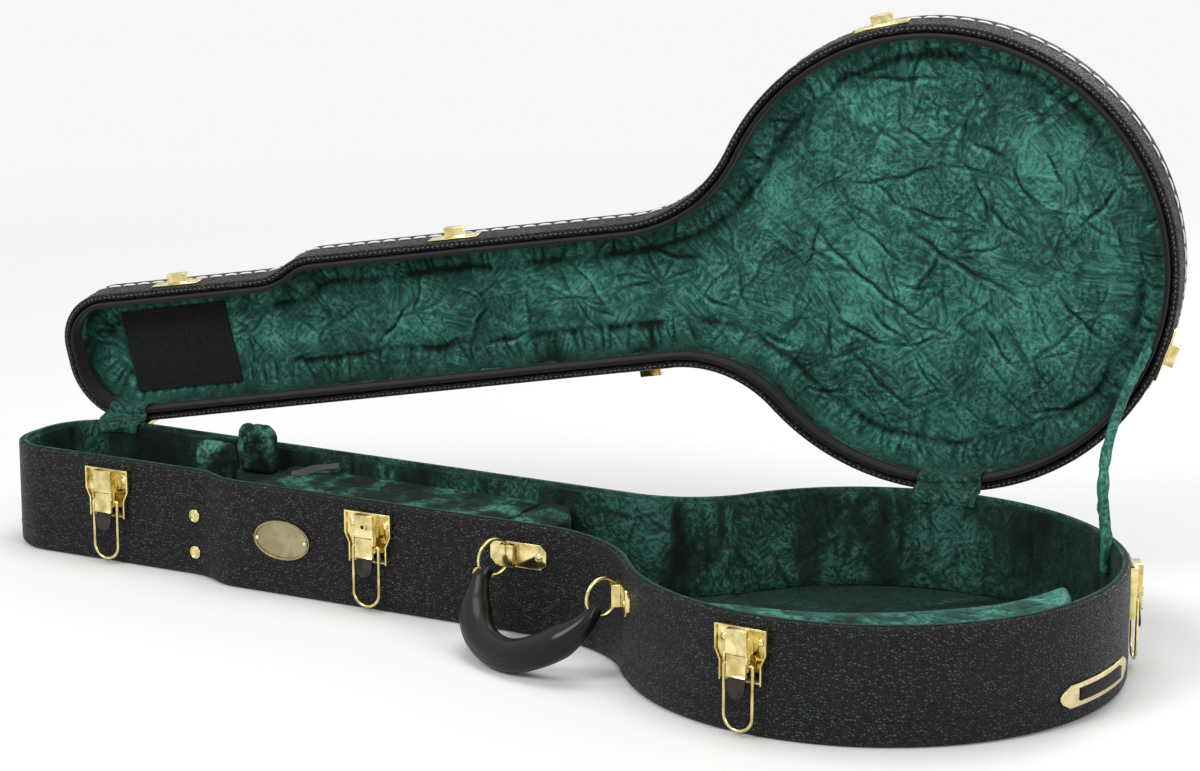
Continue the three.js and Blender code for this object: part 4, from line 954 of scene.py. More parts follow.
# a sheet that fills the outline at an inset: its points, faces and the points' distances from the border
def sheetInside(inset, spacing, seed):
    border = insetOutline(inset)
    step = max(1, int(spacing / plan["spacing"]))
    border = border[::step]
    chance = random.Random(seed)
    low, high = border.min(axis=0), border.max(axis=0)
    row = spacing * 0.866
    spots = []
    y = low[1]
    odd = False
    while y < high[1]:
        x = low[0] + (spacing / 2 if odd else 0)
        while x < high[0]:
            spots.append([place + chance.uniform(-0.2, 0.2) * spacing for place in (x, y)])
            x += spacing
        y += row
        odd = not odd
    spots = np.array(spots)
    after = np.roll(border, -1, axis=0)
    inside = np.zeros(len(spots), bool)
    for (x0, y0), (x1, y1) in zip(border, after):
        crosses = (y0 > spots[:, 1]) != (y1 > spots[:, 1])
        if abs(y1 - y0) > 1e-9:
            inside ^= crosses & (spots[:, 0] < (x1 - x0) * (spots[:, 1] - y0) / (y1 - y0) + x0)
    spots = spots[inside]
    spots = spots[distanceFrom(border, spots) > spacing * 0.6]
    points = np.vstack((border, spots))
    edges = [(i, (i + 1) % len(border)) for i in range(len(border))]
    result = delaunay_2d_cdt([Vector(p) for p in points], edges, [], 1, 1e-6)
    corners = np.array([tuple(v) for v in result[0]])
    return corners, [tuple(f) for f in result[2]], distanceFrom(insetOutline(inset), corners)


def distanceFrom(border, spots):
    away = np.full(len(spots), 1e9)
    for x, y in border:
        away = np.minimum(away, np.hypot(spots[:, 0] - x, spots[:, 1] - y))
    return away


# a sheet given a back at one height, and a skirt between the two
def thickened(corners, faces, heights, back):
    count = len(corners)
    points = [(x, y, z) for (x, y), z in zip(corners, heights)] + [(x, y, back) for x, y in corners]
    edgeUse = {}
    for face in faces:
        for a, b in zip(face, face[1:] + face[:1]):
            edgeUse[(a, b)] = True
    skirt = [(a, b, b + count, a + count) for a, b in edgeUse if (b, a) not in edgeUse]
    return points, faces + [tuple(v + count for v in reversed(face)) for face in faces] + skirt


# the box round flat spots, as (low x, low y, high x, high y)
def spanOf(spots):
    return (*np.min(spots, axis=0), *np.max(spots, axis=0))


floorCloth = {
    "spacing": 6.0, "seed": 3, "sink": 0.6, "limits": (-1.4, 0.7), "wave": 0.5, "waveScale": 0.03,
    # dim: painted shade over the whole floor, down in the case
    "dim": 0.4,
    "creases": {"count": 190, "length": (30, 90), "seed": 11, "width": (2.4, 4.6), "depth": (0.5, 1.3)},
}


def makeFloorLining():
    look = floorCloth
    corners, faces, _ = sheetInside(lining["sheetInset"], look["spacing"], look["seed"])
    creases, shades = creaseHeights(corners, creaseLines(box=spanOf(corners), **look["creases"]))
    heights = lining["floorTop"] - look["sink"] + np.clip(creases, *look["limits"])
    heights += look["wave"] * softNoise([(x, y, 0) for x, y in corners], look["waveScale"], 2)
    points, faces = thickened(corners, faces, heights, shell["panel"] + 0.3)
    shades = np.clip(np.concatenate((shades, shades)) * 1.2 + look["dim"], -0.2, 0.96)
    piece = makePiece("floor_plush", points, faces, shadedFloorPlush, "base", ("base_floor_lining",),
                      shades)


lidCloth = {
    "spacing": 1.9, "seed": 5, "sink": 1.6, "back": 3.6, "most": 2.6, "limits": (-3.0, 2.0),
    # broad and fine unevenness: scale and seed
    "broad": (0.022, 9), "fine": (0.05, 4), "fineDepth": 0.9,
    # the groove along the border, and the roll at the border itself
    "coveInset": 27, "coveWidth": 3.0, "coveDepth": 3.2, "roll": 12.0, "rollFrom": 3.0, "rollDepth": 0.75,
    "wander": 5,
    # painted shade in the groove and at the border, and how much darker it is along the neck
    "grooveShade": 0.8, "borderShade": 0.55, "borderReach": 12, "neckFrom": 200, "neckReach": 80,
    "neckDark": 0.08, "neckPatches": 0.5, "finePale": 0.3,
    # the felt pad at the head, under which the plush lies flat
    "padMargin": 5, "padHalf": (53.5, 38), "padMiddle": (723, 8), "padPress": 0.5,
    # long creases in the round panel: from, to, width and depth
    "folds": (
        (-118, -20, 0, 72, 2.3, 2.6), (-40, -27, 62, 32, 2.5, 2.8), (19, -100, 53, -85, 2.5, 2.4),
        (53, -85, 78, -42, 2.0, 2.0), (-36, -108, -8, -90, 2.0, 2.2), (-84, -55, 0, -78, 2.2, 2.2),
        (-36, -39, 15, -28, 2.0, 2.2), (34, -45, 70, -15, 2.0, 2.2), (-68, -18, -35, 12, 2.0, 2.0),
        (-95, 62, -46, 84, 2.4, 2.6), (-65, 53, -31, 80, 2.0, 2.2), (-82, 88, -24, 143, 2.2, 2.4),
        (32, 55, 62, 99, 1.9, 2.0), (92, 26, 140, 70, 2.2, 2.4), (108, -26, 145, -68, 2.2, 2.2),
        (-157, 80, -131, 92, 2.4, 2.4), (-155, -107, -130, -106, 2.3, 2.2),
        (-92, -150, 6, -152, 2.4, 2.4), (-40, 31, -8, 29, 1.8, 1.8), (-121, 127, -84, 128, 2.0, 2.2),
        (-27, 90, -3, 125, 1.8, 1.8), (84, -92, 102, -62, 1.8, 1.8), (0, -78, 40, -72, 1.8, 1.6),
        (-46, 84, 0, 72, 1.6, 1.5), (70, 134, 118, 122, 2.2, 2.2), (-262, 12, -205, 18, 2.2, 2.2),
        (-300, 70, -330, 30, 1.8, 1.6), (-420, 110, -372, 96, 1.9, 1.6), (-215, 48, -182, 62, 2.0, 2.0),
        (-520, 120, -480, 70, 1.8, 1.5),
    ),
    "foldWidth": 0.72,
    # creases that run out from these middles, and how far
    "stars": (
        (-40, 60, 75), (40, -20, 80), (-70, -70, 70), (70, 90, 70), (0, 120, 60), (110, -40, 60),
        (20, -120, 60), (-120, 20, 60), (-30, -140, 60), (130, 40, 50), (-180, 20, 60), (-250, 40, 45),
        (-330, 60, 45), (-410, 75, 45), (-480, 85, 45), (-560, 100, 40), (-640, 115, 40), (0, 0, 70),
        (-100, 100, 55),
    ),
    "starSeed": 8,
    "creases": {"count": 260, "length": (14, 52), "seed": 21, "width": (0.8, 1.5), "depth": (0.3, 1.0)},
    "roundBox": (-190, -190, 190, 190),
    "roundCreases": (
        {"count": 150, "seed": 31, "depth": (0.3, 1.1), "heading": 0.75},
        {"count": 90, "seed": 33, "depth": (0.3, 1.0), "heading": 2.4},
    ),
    "pleats": {"spacing": 9, "inner": 12, "outer": 36, "seed": 61},
}


def makeLidPanelLining():
    look, face = lidCloth, lining["lidFace"]
    corners, faces, distance = sheetInside(lining["sheetInset"], look["spacing"], look["seed"])
    lines = [(*fold[:4], fold[4] * look["foldWidth"], fold[5]) for fold in look["folds"]]
    lines += starLines(look["stars"], look["starSeed"])
    lines += creaseLines(box=spanOf(corners), **look["creases"])
    for creases in look["roundCreases"]:
        lines += creaseLines(box=look["roundBox"], length=(16, 60), width=(0.8, 1.6), **creases)
    lines += pleatLines(**look["pleats"])
    creases, shades = creaseHeights(corners, lines)
    flat = [(x, y, 0) for x, y in corners]
    wander = softNoise(flat, *look["broad"])
    fine = look["fineDepth"] * softNoise(flat, *look["fine"])
    far = distance + wander * look["wander"]
    groove = np.exp(-((far - look["coveInset"]) / look["coveWidth"]) ** 2)
    groove = groove * np.clip(0.75 + wander * 1.6, 0.25, 1)
    near = np.clip(1 - (distance - look["rollFrom"]) / look["roll"], 0, 1)
    roll = look["roll"] * (1 - np.sqrt(1 - near ** 2 * 0.98))
    calm = np.clip((distance - 4) / 10, 0, 1)
    heights = face - look["sink"] - roll * look["rollDepth"] + groove * look["coveDepth"]
    heights -= (np.clip(creases, *look["limits"]) + fine) * calm
    # painted shade in the crease cores and the groove, and at the border
    shades = shades * calm + groove * look["grooveShade"] - look["finePale"] * np.clip(fine, -0.4, 1)
    shades = np.clip(shades, -0.55, 0.97)
    shades += look["borderShade"] * np.clip(1 - (distance - 4) / look["borderReach"], 0, 1)
    spots = corners @ np.column_stack((alongNeck, acrossNeck))
    patches = look["neckDark"] + look["neckPatches"] * np.clip(wander + 0.1, 0, 1)
    shades += np.clip((spots[:, 0] - look["neckFrom"]) / look["neckReach"], 0, 1) * patches
    over = np.max(np.abs(spots - look["padMiddle"]) - look["padHalf"], axis=1)
    free = np.clip((over - 1) / look["padMargin"], 0, 1)
    heights = heights * free + (face + look["padPress"]) * (1 - free)
    heights = np.minimum(heights, face + look["most"])
    points, faces = thickened(corners, faces, heights, face + look["back"])
    piece = makePiece("lid_panel_plush", points, faces, plush, "lid", ("lid_panel_lining",),
                      np.concatenate((shades, shades)))


# bands of plush along the walls, with places along the outline as shares of its length
walls = {
    "base_wall_plush": {
        "body": "base", "replaced": "base_wall_lining", "inset": lining["wallInset"], "thickness": 2.8,
        "low": lining["floorTop"] + 0.3, "high": shell["baseDepth"] + 0.35, "lap": lining["rimLap"],
        "seed": 41,
        # upright folds in the rear waist and the round body: place, lean, width and depth
        "folds": ((0.441, -4, 5.5, 2.6), (0.43, 5, 3.0, 1.6), (0.36, 3, 3.4, 1.8), (0.31, -3, 3.0, 1.6)),
        # stretches of painted shadow: from, to and how much
        "shadow": ((0.1, 0.325, 0.86), (0.47, 0.6, 0.3), (0.61, 0.685, 0.6), (0.345, 0.4, 0.2)),
    },
    "lid_wall_plush": {
        "body": "lid", "replaced": "lid_wall_lining", "inset": lining["lidInset"], "thickness": 3.4,
        "low": shell["rim"] + 14.3, "high": lining["lidFace"] - 0.3, "lap": 0, "seed": 51, "folds": (),
        "shadow": ((0.93, 1.02, 0.55), (-0.02, 0.05, 0.5), (0.4, 0.5, 0.4), (0.75, 0.93, 0.3)),
    },
}
wallCloth = {
    # where the plush ends on the rim, and how much painted shade it gets there
    "lapInset": 4.2, "lapShade": 0.8, "lapFade": 3.5,
    "rowStep": 4.0, "limits": (-1.6, 1.0), "rollOff": 1.6, "rollReach": 4.0, "calmReach": 6.0,
    # unevenness and broad shades: steps along and up
    "uneven": (0.02, 0.03), "unevenDepth": 0.5, "broad": (0.021, 0.008), "broadDark": 1.1,
    "shadowFade": 45,
    # creases by chance, one for so much length of wall
    "uprightSpacing": 15, "upright": {"width": (2.2, 4.4), "depth": (0.6, 1.6), "heading": math.pi / 2},
    "looseSpacing": 22, "loose": {"length": (14, 50), "width": (1.8, 3.2), "depth": (0.4, 1.1)},
}


def wallBand(name, look):
    low, high, inset, seed, lap = (look[part] for part in ("low", "high", "inset", "seed", "lap"))
    rows = max(4, int((high - low) / wallCloth["rowStep"]))
    columns = len(outline)
    spots = np.array([(run, low + (high - low) * k / rows)
                      for run in outlineRun[:-1] for k in range(rows + 1)])
    lines = []
    for share, lean, width, depth in look["folds"]:
        run = share * outlineLength
        lines.append((run, low, run + lean, high, width, depth))
    box = (0, low, outlineLength, high)
    count, tall = int(outlineLength / wallCloth["uprightSpacing"]), (18, (high - low) * 1.1 + 12)
    lines += creaseLines(count, box, tall, seed, **wallCloth["upright"])
    count = int(outlineLength / wallCloth["looseSpacing"])
    lines += creaseLines(count, box, seed=seed + 1, **wallCloth["loose"])
    creases, shades = creaseHeights(spots, lines)
    push = np.clip(creases, *wallCloth["limits"])
    along, rise = wallCloth["uneven"]
    uneven = softNoise([(run * along, z * rise, seed) for run, z in spots], 1.0, seed)
    push += wallCloth["unevenDepth"] * uneven
    along, rise = wallCloth["broad"]
    broad = softNoise([(run * along, z * rise, seed + 5) for run, z in spots], 1.0, seed)
    edge = np.minimum(spots[:, 1] - low, high - spots[:, 1])
    rollOff = wallCloth["rollOff"] * (1 - np.clip(edge / wallCloth["rollReach"], 0, 1)) ** 2
    face = []
    for index, (run, z) in enumerate(spots):
        k = index // (rows + 1)
        depth = inset + push[index] * min(1.0, edge[index] / wallCloth["calmReach"]) - rollOff[index]
        if lap and z > high - lap:
            turn = min((z - high + lap) / lap, 1)
            depth -= (inset - wallCloth["lapInset"]) * turn ** 2
        face.append((*(outline[k] - outlineNormals[k] * depth), z))
    rear = inset - look["thickness"]
    back = [(*(outline[k] - outlineNormals[k] * rear), z) for k in range(columns) for z in (low, high)]
    faces = loopFaces(columns, rows + 1, True, False)
    for k in range(columns):
        after = (k + 1) % columns
        here, there = k * (rows + 1), after * (rows + 1)
        backHere, backThere = len(face) + 2 * k, len(face) + 2 * after
        faces.append((backHere, backThere, backThere + 1, backHere + 1))
        faces.append((here, there, backThere, backHere))
        faces.append((here + rows, there + rows, backThere + 1, backHere + 1))
    # painted shadow over the given stretches of wall
    for start, end, dim in look["shadow"]:
        inner = np.minimum(spots[:, 0] - start * outlineLength, end * outlineLength - spots[:, 0])
        shades = np.maximum(shades, np.clip(inner / wallCloth["shadowFade"] + 0.5, 0, 1) * dim)
    shades = np.clip(shades * 0.9 + np.clip(broad, -0.4, 0.6) * wallCloth["broadDark"], -0.45, 0.97)
    # painted shade where the plush laps over the rim
    if lap:
        onRim = np.clip(1.3 - (high - spots[:, 1]) / wallCloth["lapFade"], 0, 1)
        shades = np.maximum(shades, wallCloth["lapShade"] * onRim)
    piece = makePiece(name, face + back, faces, shadedWallPlush, look["body"], (look["replaced"],),
                      np.concatenate((shades, np.zeros(len(back)))))


makeFloorLining()
makeLidPanelLining()
for name, look in walls.items():
    wallBand(name, look)
print("linings are laid")

# padded blocks and prongs: the CAD's forms, softened and creased

prong = {"voxel": 1.7, "smooth": 34, "broad": 42, "fine": 50, "puff": 2.4, "crease": 1.8}
block = {"smooth": 3, "broad": 30, "crease": 0.8}
# dim: painted shade laid over each whole form, down in the case
softForms = {
    "cradle_rear_prong": {**prong, "seed": 1, "dim": 0.2},
    "cradle_front_prong": {**prong, "seed": 2, "dim": 0.1},
    "cradle_block": {**block, "voxel": 2.6, "fine": 45, "puff": 0.5, "seed": 3, "dim": 0.55},
    "compartment_end_block": {**block, "voxel": 2.8, "fine": 42, "puff": 0.5, "seed": 4, "dim": 0.45},
    "compartment_lid": {**block, "voxel": 1.9, "fine": 42, "puff": 0.4, "seed": 5, "dim": 0.38},
}


def softCopy(node, name, look):
    piece = copyOf(node, name)
    remesh = piece.modifiers.new("remesh", "REMESH")
    remesh.mode = "VOXEL"
    remesh.voxel_size = look["voxel"] * mm
    finished(piece)
    work = bmesh.new()
    work.from_mesh(piece.data)
    for _ in range(look["smooth"]):
        bmesh.ops.smooth_vert(work, verts=work.verts, factor=0.5, use_axis_x=True, use_axis_y=True,
                              use_axis_z=True)
    work.normal_update()
    shift = Vector((look["seed"] * 1.7, look["seed"] * 0.9, 0))
    for vertex in work.verts:
        broad = noise.fractal(vertex.co * look["broad"] + shift, 0.8, 2.0, 3)
        ridge = 1 - abs(noise.noise(vertex.co * look["fine"] + shift)) * 4
        vertex.co += vertex.normal * (broad * look["puff"] - max(ridge, 0) ** 2 * look["crease"]) * mm
    work.to_mesh(piece.data)
    work.free()
    return piece


noiseAndSideShade = {"scale": 30, "broad": 1.8, "away": (0.95, 0.1, 0), "dark": 0.9}


# random broad lights and darks, and painted shade on the sides that face the body, away from the key lamp
def shadeByNoise(piece, seed, dim):
    mesh = piece.data
    places = np.empty(len(mesh.vertices) * 3, np.float32)
    mesh.vertices.foreach_get("co", places)
    facing = np.empty(len(mesh.vertices) * 3, np.float32)
    mesh.vertices.foreach_get("normal", facing)
    away = np.clip(facing.reshape(-1, 3) @ np.array(noiseAndSideShade["away"]), 0, 1) ** 1.5
    broad = softNoise(places.reshape(-1, 3), noiseAndSideShade["scale"], seed)
    setShade(mesh, np.clip(broad * noiseAndSideShade["broad"] + dim + away * noiseAndSideShade["dark"], -0.5, 0.95))


for node, look in softForms.items():
    body = "compartment_lid" if node == "compartment_lid" else "base"
    piece = softCopy(node, f"{node}_plush", look)
    shadeByNoise(piece, look["seed"], look["dim"])
    dress(piece, shadedFloorPlush, body, (node,))

# crescent bolster on the front of the body: painted shade down its inner slope, less over its crown, and
# a painted highlight towards its right end

bolster = {
    "from": -126, "to": -15, "depth": 61, "top": 88, "foot": 9.3, "crown": 7, "gap": 0.4, "steps": 190,
    # the right end is cut aslant; from the tip's angle on, over its reach, the crown gets a painted
    # highlight
    "slant": 14, "slantFrom": 0.8, "tipFrom": -38, "tipReach": 18,
    # how deep it is from one end to the other, and its section: towards the middle, and up
    "depthShares": (0.22, 0.49, 0.65, 0.76, 0.88, 0.96, 1, 1, 0.95, 0.86, 0.75, 0.62),
    "section": (
        (1, 0), (1.0, 0.3), (1.0, 0.65), (0.985, 0.83), (0.94, 0.93), (0.86, 0.975), (0.66, 1.0),
        (0.4, 1.0), (0.2, 0.99), (0.06, 0.97), (0, 0.92), (0, 0.4), (0, 0),
    ),
    "sections": 34, "spotStep": 3.2, "endReach": 3.2,
    # unevenness: scale and seed; painted shade down the inner slope: from how far in, and over what reach
    "fine": (0.045, 12), "fineDepth": 0.7, "limits": (-1.2, 0.6), "slopeShadeFrom": 50, "slopeShadeReach": 10,
    "creases": {
        "count": 110, "length": (14, 44), "seed": 71, "width": (1.4, 2.6), "depth": (0.5, 1.4),
        "heading": 0.2,
    },
}


def makeBolster():
    look, shares, count = bolster, bolster["depthShares"], bolster["sections"]
    section = smoothPath([Vector((a, b, 0)) for a, b in look["section"]], count)
    wall = plan["bodyRadius"] - lining["wallInset"] - look["gap"]
    points, spots, slopes = [], [], []
    for i in range(look["steps"] + 1):
        t = i / look["steps"]
        angle = math.radians(look["from"] + (look["to"] - look["from"]) * t)
        spot = t * (len(shares) - 1)
        low = min(int(spot), len(shares) - 2)
        fullness = shares[low] + (shares[low + 1] - shares[low]) * (spot - low)
        near = min(t, 1 - t) * (look["to"] - look["from"]) / look["endReach"]
        close = math.sqrt(max(0.02, 1 - max(0, 1 - near) ** 2))
        height = look["top"] - look["foot"] - look["crown"] * (1 - min(fullness * 1.25, 1)) ** 2
        taper = min(1, close * 1.2) if t < 0.5 else 0.94 + 0.06 * close
        lean = max(0, t - look["slantFrom"]) / (1 - look["slantFrom"])
        for k, place in enumerate(section):
            reach = look["depth"] * fullness * taper * max(place.x, 0)
            z = look["foot"] + height * (0.86 + 0.14 * close) * max(place.y, 0)
            spread = math.radians(look["slant"] * (2 * max(place.x, 0) - 1) * lean)
            points.append(np.array((*(polar(angle + spread) * (wall - reach)), z)))
            spots.append((angle * plan["bodyRadius"], k * look["spotStep"]))
            slopes.append(place.x * fullness * look["depth"])
    creases, shades = creaseHeights(np.array(spots), creaseLines(box=spanOf(spots), **look["creases"]))
    fine = look["fineDepth"] * softNoise(points, *look["fine"])
    slopes = np.array(slopes)
    moved = []
    for index, place in enumerate(points):
        lift = (np.clip(creases[index], *look["limits"]) + fine[index]) * min(1, place[2] / 40)
        slope = min(max(slopes[index] / 30, 0), 1)
        inward = -place[:2] / np.linalg.norm(place[:2])
        free = 1 if 0.5 < slopes[index] else 0
        moved.append((*(place[:2] + inward * lift * slope), place[2] + lift * (1 - slope) * free))
    faces = loopFaces(look["steps"] + 1, count, False, True)
    faces += [tuple(range(count)), tuple(look["steps"] * count + k for k in range(count))]
    # painted shade down the inner slope, less over the crown, and a painted highlight towards the right
    # end
    dark = np.clip((slopes - look["slopeShadeFrom"]) / look["slopeShadeReach"], 0, 1)
    angles = np.degrees(np.array(spots)[:, 0] / plan["bodyRadius"])
    tip = np.clip((angles - look["tipFrom"]) / look["tipReach"], 0, 1)
    shades = np.clip(shades * 1.2 + dark * 0.6 + (0.3 - 0.6 * tip) * (1 - dark) + fine, -0.5, 0.92)
    piece = makePiece("resonator_bolster_plush", moved, faces, plush, "base",
                      ("resonator_bolster",), shades)


makeBolster()
print("padded forms are dressed")

# metal fittings: the CAD's forms with their edges rounded


def metalCopy(node, name, finish, bevel, segments=2):
    piece = copyOf(node, name)
    work = bmesh.new()
    work.from_mesh(piece.data)
    bmesh.ops.remove_doubles(work, verts=work.verts, dist=1e-6)
    bmesh.ops.dissolve_limit(work, angle_limit=math.radians(1.0), verts=work.verts, edges=work.edges)
    work.to_mesh(piece.data)
    work.free()
    bevelled(piece, bevel, segments)
    return dress(piece, finish, frame["nodes"][node]["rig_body"], (node,))


latchNames = ("head", "neck", "front", "end", "waist")
goldBevels = (
    (latchNames, {"latch_plate": 0.3, "latch_lever": 0.28, "catch": 0.3}),
    (("head", "body"), {"hinge_base_leaf": 0.25, "hinge_lid_leaf": 0.25, "hinge_pin": 0.25}),
    (("neck", "body"), {"staple": 0.4}), (("lock",), {"cylinder": 0.15}),
)
for places, bevels in goldBevels:
    for place in places:
        for part, bevel in bevels.items():
            metalCopy(f"{place}_{part}", f"{place}_{part}_gold", gold, bevel)
metalCopy("oval_plate", "oval_plate_brass", agedBrass, 0.5, 3)
metalCopy("end_plate", "end_plate_brass", paleBrass, 0.4, 3)
metalCopy("end_plate_inlay", "end_plate_felt", blackCloth, 0.3)
metalCopy("lid_pad", "lid_felt_pad", blackFelt, 0.8, 3)

# the lower tongue of each lever: the lever's own end, cut off at a height and swelled a little

# its dark metal is a painted reflection of dark surroundings, over the lever's own gold
tongue = {"share": 0.47, "swell": 0.2, "bevel": 0.35}


def makeTongue(latch):
    node = f"{latch}_latch_lever"
    piece = copyOf(node, f"{latch}_lever_tongue")
    low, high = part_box(node)
    cut = low[2] + (high[2] - low[2]) * tongue["share"]
    work = bmesh.new()
    work.from_mesh(piece.data)
    bmesh.ops.remove_doubles(work, verts=work.verts, dist=1e-6)
    geometry = work.verts[:] + work.edges[:] + work.faces[:]
    bmesh.ops.bisect_plane(work, geom=geometry, dist=1e-6, plane_co=(0, 0, cut), plane_no=(0, 0, 1),
                           clear_outer=True)
    bmesh.ops.holes_fill(work, edges=[edge for edge in work.edges if edge.is_boundary])
    work.normal_update()
    for vertex in work.verts:
        vertex.co += vertex.normal * tongue["swell"] * mm
    work.to_mesh(piece.data)
    work.free()
    dress(bevelled(piece, tongue["bevel"], 3), darkReflectionAndShade, f"{latch}_lever")


for latch in latchNames:
    makeTongue(latch)


# a small turned form that faces out: rings of a reach and a lift, with sides round them
def makeTurned(name, centre, side, out, rings, sides, finish, replaced=()):
    rows = [centre + (side * math.cos(a) + up * math.sin(a)) * reach + out * lift
            for reach, lift in rings for a in turns(sides)]
    makePiece(name, rows, loopFaces(len(rings), sides, False, True), finish, "base", replaced)


# a round keyhole in the lock's cylinder: a dark disc whose dark is painted shade of the hole
keyhole = {"rings": ((1.75, 0.0), (1.75, 0.62), (1.5, 0.7), (0.01, 0.7)), "sides": 24}
keyholeOut = Vector((*outFront, 0))
makeTurned("lock_keyhole", boxOf("lock_cylinder")[2], up.cross(keyholeOut), keyholeOut, keyhole["rings"],
           keyhole["sides"], darkReflectionAndShade)

# raised rim and two pins on the bare oval plate

ovalTrim = {
    "rimInset": 1.7, "rimWire": 0.42, "steps": 64, "pinInset": 4.2, "pinSides": 20,
    "pinRings": ((1.9, 0.0), (1.85, 0.5), (1.45, 1.0), (0.8, 1.3), (0.01, 1.4)),
}


def makeOvalTrim():
    low, high, middle = boxOf("oval_plate")
    inset, steps = ovalTrim["rimInset"], ovalTrim["steps"]
    along, out = Vector((*alongFront, 0)), Vector((*outFront, 0))
    halfAlong, halfUp = (high.x - low.x) / 2 / abs(along.x), (high.z - low.z) / 2
    plate = frame["nodes"]["oval_plate"]
    faceOut = max((plate.matrix_world @ vertex.co).dot(out) for vertex in plate.data.vertices)
    base = middle + out * (faceOut / mm - middle.dot(out))
    path = [base + along * math.cos(a) * (halfAlong - inset) + up * math.sin(a) * (halfUp - inset)
            for a in turns(steps)]
    rows = []
    for i, spot in enumerate(path):
        side = (path[(i + 1) % steps] - path[i - 1]).normalized().cross(out)
        rows += [spot + (side * math.cos(b) + out * math.sin(b)) * ovalTrim["rimWire"] for b in turns(8)]
    makePiece("oval_plate_rim", rows, loopFaces(steps, 8), agedBrass, "base")
    for name, turn in (("oval_pin_head_side", 1), ("oval_pin_body_side", -1)):
        centre = base + along * turn * (halfAlong - ovalTrim["pinInset"])
        makeTurned(name, centre, along, out, ovalTrim["pinRings"], ovalTrim["pinSides"], paleBrass)


makeOvalTrim()

# wire bails of the latches; length is from the pivot to the far end of the bow

bail = {"wire": 1.3, "halfWidth": 12.2, "length": 51.7, "tip": 8.9, "bend": 1.6, "sides": 14}
jointOf = {joint["name"]: joint for joint in frame["joints"]}


def bailPath():
    half, bend = bail["halfWidth"], bail["bend"]
    leg = bail["length"] - half
    right = [(bail["tip"], 0), (half - bend, 0)]
    right += [(half - bend + bend * math.sin(a), -bend + bend * math.cos(a))
              for a in np.linspace(0, math.pi / 2, 5)[1:]]
    right += [(half, -leg * share) for share in (0.35, 0.65, 0.9)]
    right += [(half * math.cos(a), -leg - half * math.sin(a)) for a in np.linspace(0, math.pi / 2, 12)]
    return [(-x, y, 0) for x, y in right] + [(x, y, 0) for x, y in reversed(right[:-1])]


def makeBail(latch):
    joint = jointOf[f"{latch}_bail_hinge"]
    side = -Vector(joint["axis"])
    turn = Matrix((side, up, side.cross(up))).transposed().to_4x4()
    seat = Matrix.Translation(Vector(joint["pos_m"])) @ turn
    path = bailPath()
    wire = tubePoints(path, bail["wire"], bail["sides"], 1.0, [(0, 0, 1)] * len(path))
    makePiece(f"{latch}_latch_bail_wire", [(seat @ (p * mm)) / mm for p in wire],
              tubeFaces(len(path), bail["sides"]), gold, f"{latch}_bail",
              (f"{latch}_latch_bail",))


for latch in latchNames:
    makeBail(latch)

# rings of the handle

ring = {"radius": 15.2, "wire": 1.5, "steps": 48, "sides": 12}
handleLine = Vector(jointOf["handle_hinge"]["axis"]).normalized()
handleOut = handleLine.cross(up)
ringCentre = Vector(jointOf["handle_hinge"]["pos_m"]) / mm
farCentre = (Vector(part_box("body_handle_ring")[0]) + Vector(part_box("body_handle_ring")[1])) / 2 / mm
handleSpan = (farCentre - ringCentre).length
for name, centre in (("neck_handle_ring", ringCentre), ("body_handle_ring", farCentre)):
    rows = []
    for a in turns(ring["steps"]):
        middle = centre + (handleOut * math.cos(a) + up * math.sin(a)) * ring["radius"]
        away = (middle - centre).normalized()
        rows += [middle + (away * math.cos(b) + handleLine * math.sin(b)) * ring["wire"]
                 for b in turns(ring["sides"])]
    makePiece(f"{name}_wire", rows, loopFaces(ring["steps"], ring["sides"]), gold, "handle",
              (name,))

# domed rivets with a turned ring round the head, on the wall next to their solids

rivet = {
    "radius": 5.8, "height": 2.2, "sides": 28,
    "shares": (
        (1, 0.1), (1, 0.45), (0.93, 0.7), (0.84, 0.72), (0.8, 0.5), (0.74, 0.55), (0.6, 0.88),
        (0.42, 1.0), (0.28, 0.9), (0.16, 0.6), (0.01, 0.5),
    ),
}
rivetRings = [(reach * rivet["radius"], lift * rivet["height"] + 0.1) for reach, lift in rivet["shares"]]
rivetNodes = [f"{place}_rivet_{side}" for place in ("cradle", "end_block") for side in ("upper", "lower")]
for node in rivetNodes:
    middle = boxOf(node)[2]
    nearest = int(np.argmin(np.hypot(outline[:, 0] - middle.x, outline[:, 1] - middle.y)))
    out = Vector((*outlineNormals[nearest], 0))
    makeTurned(f"{node}_gold", Vector((*outline[nearest], middle.z)), up.cross(out), out, rivetRings,
               rivet["sides"], gold, (node,))
print("metal fittings are polished")

# handle: a leather grip with a welt along each seam

grip = {
    "depth": 70, "thickness": 27, "width": 27, "endThickness": 10.5, "endWidth": 13, "wrap": 5,
    "height": 67.4, "gap": 0.6, "rows": 72, "sides": 40,
    # where along the handle, and how deep there, from one ring to the other
    "spans": (0, 0.0, 0.03, 0.1, 0.24, 0.42, 0.6, 0.78, 0.91, 0.98, 1, 1),
    "depths": (0.19, 0.27, 0.42, 0.64, 0.88, 1, 0.99, 0.82, 0.6, 0.4, 0.27, 0.19),
    # seams at this angle from the inner side, each with a groove and a welt
    "seam": 0.62, "groove": 0.045, "grooveWidth": 0.012, "welt": 1.05, "weltSink": 0.35, "weltFrom": 3,
}


def gripPath():
    points = []
    for i, share in enumerate(grip["spans"]):
        end = i in (0, len(grip["spans"]) - 1)
        lift = ring["radius"] + grip["wrap"]
        depth = ring["radius"] - grip["wrap"] if end else max(grip["depth"] * grip["depths"][i], lift)
        points.append(Vector((handleSpan * share, depth, 0)))
    return smoothPath(points, grip["rows"])


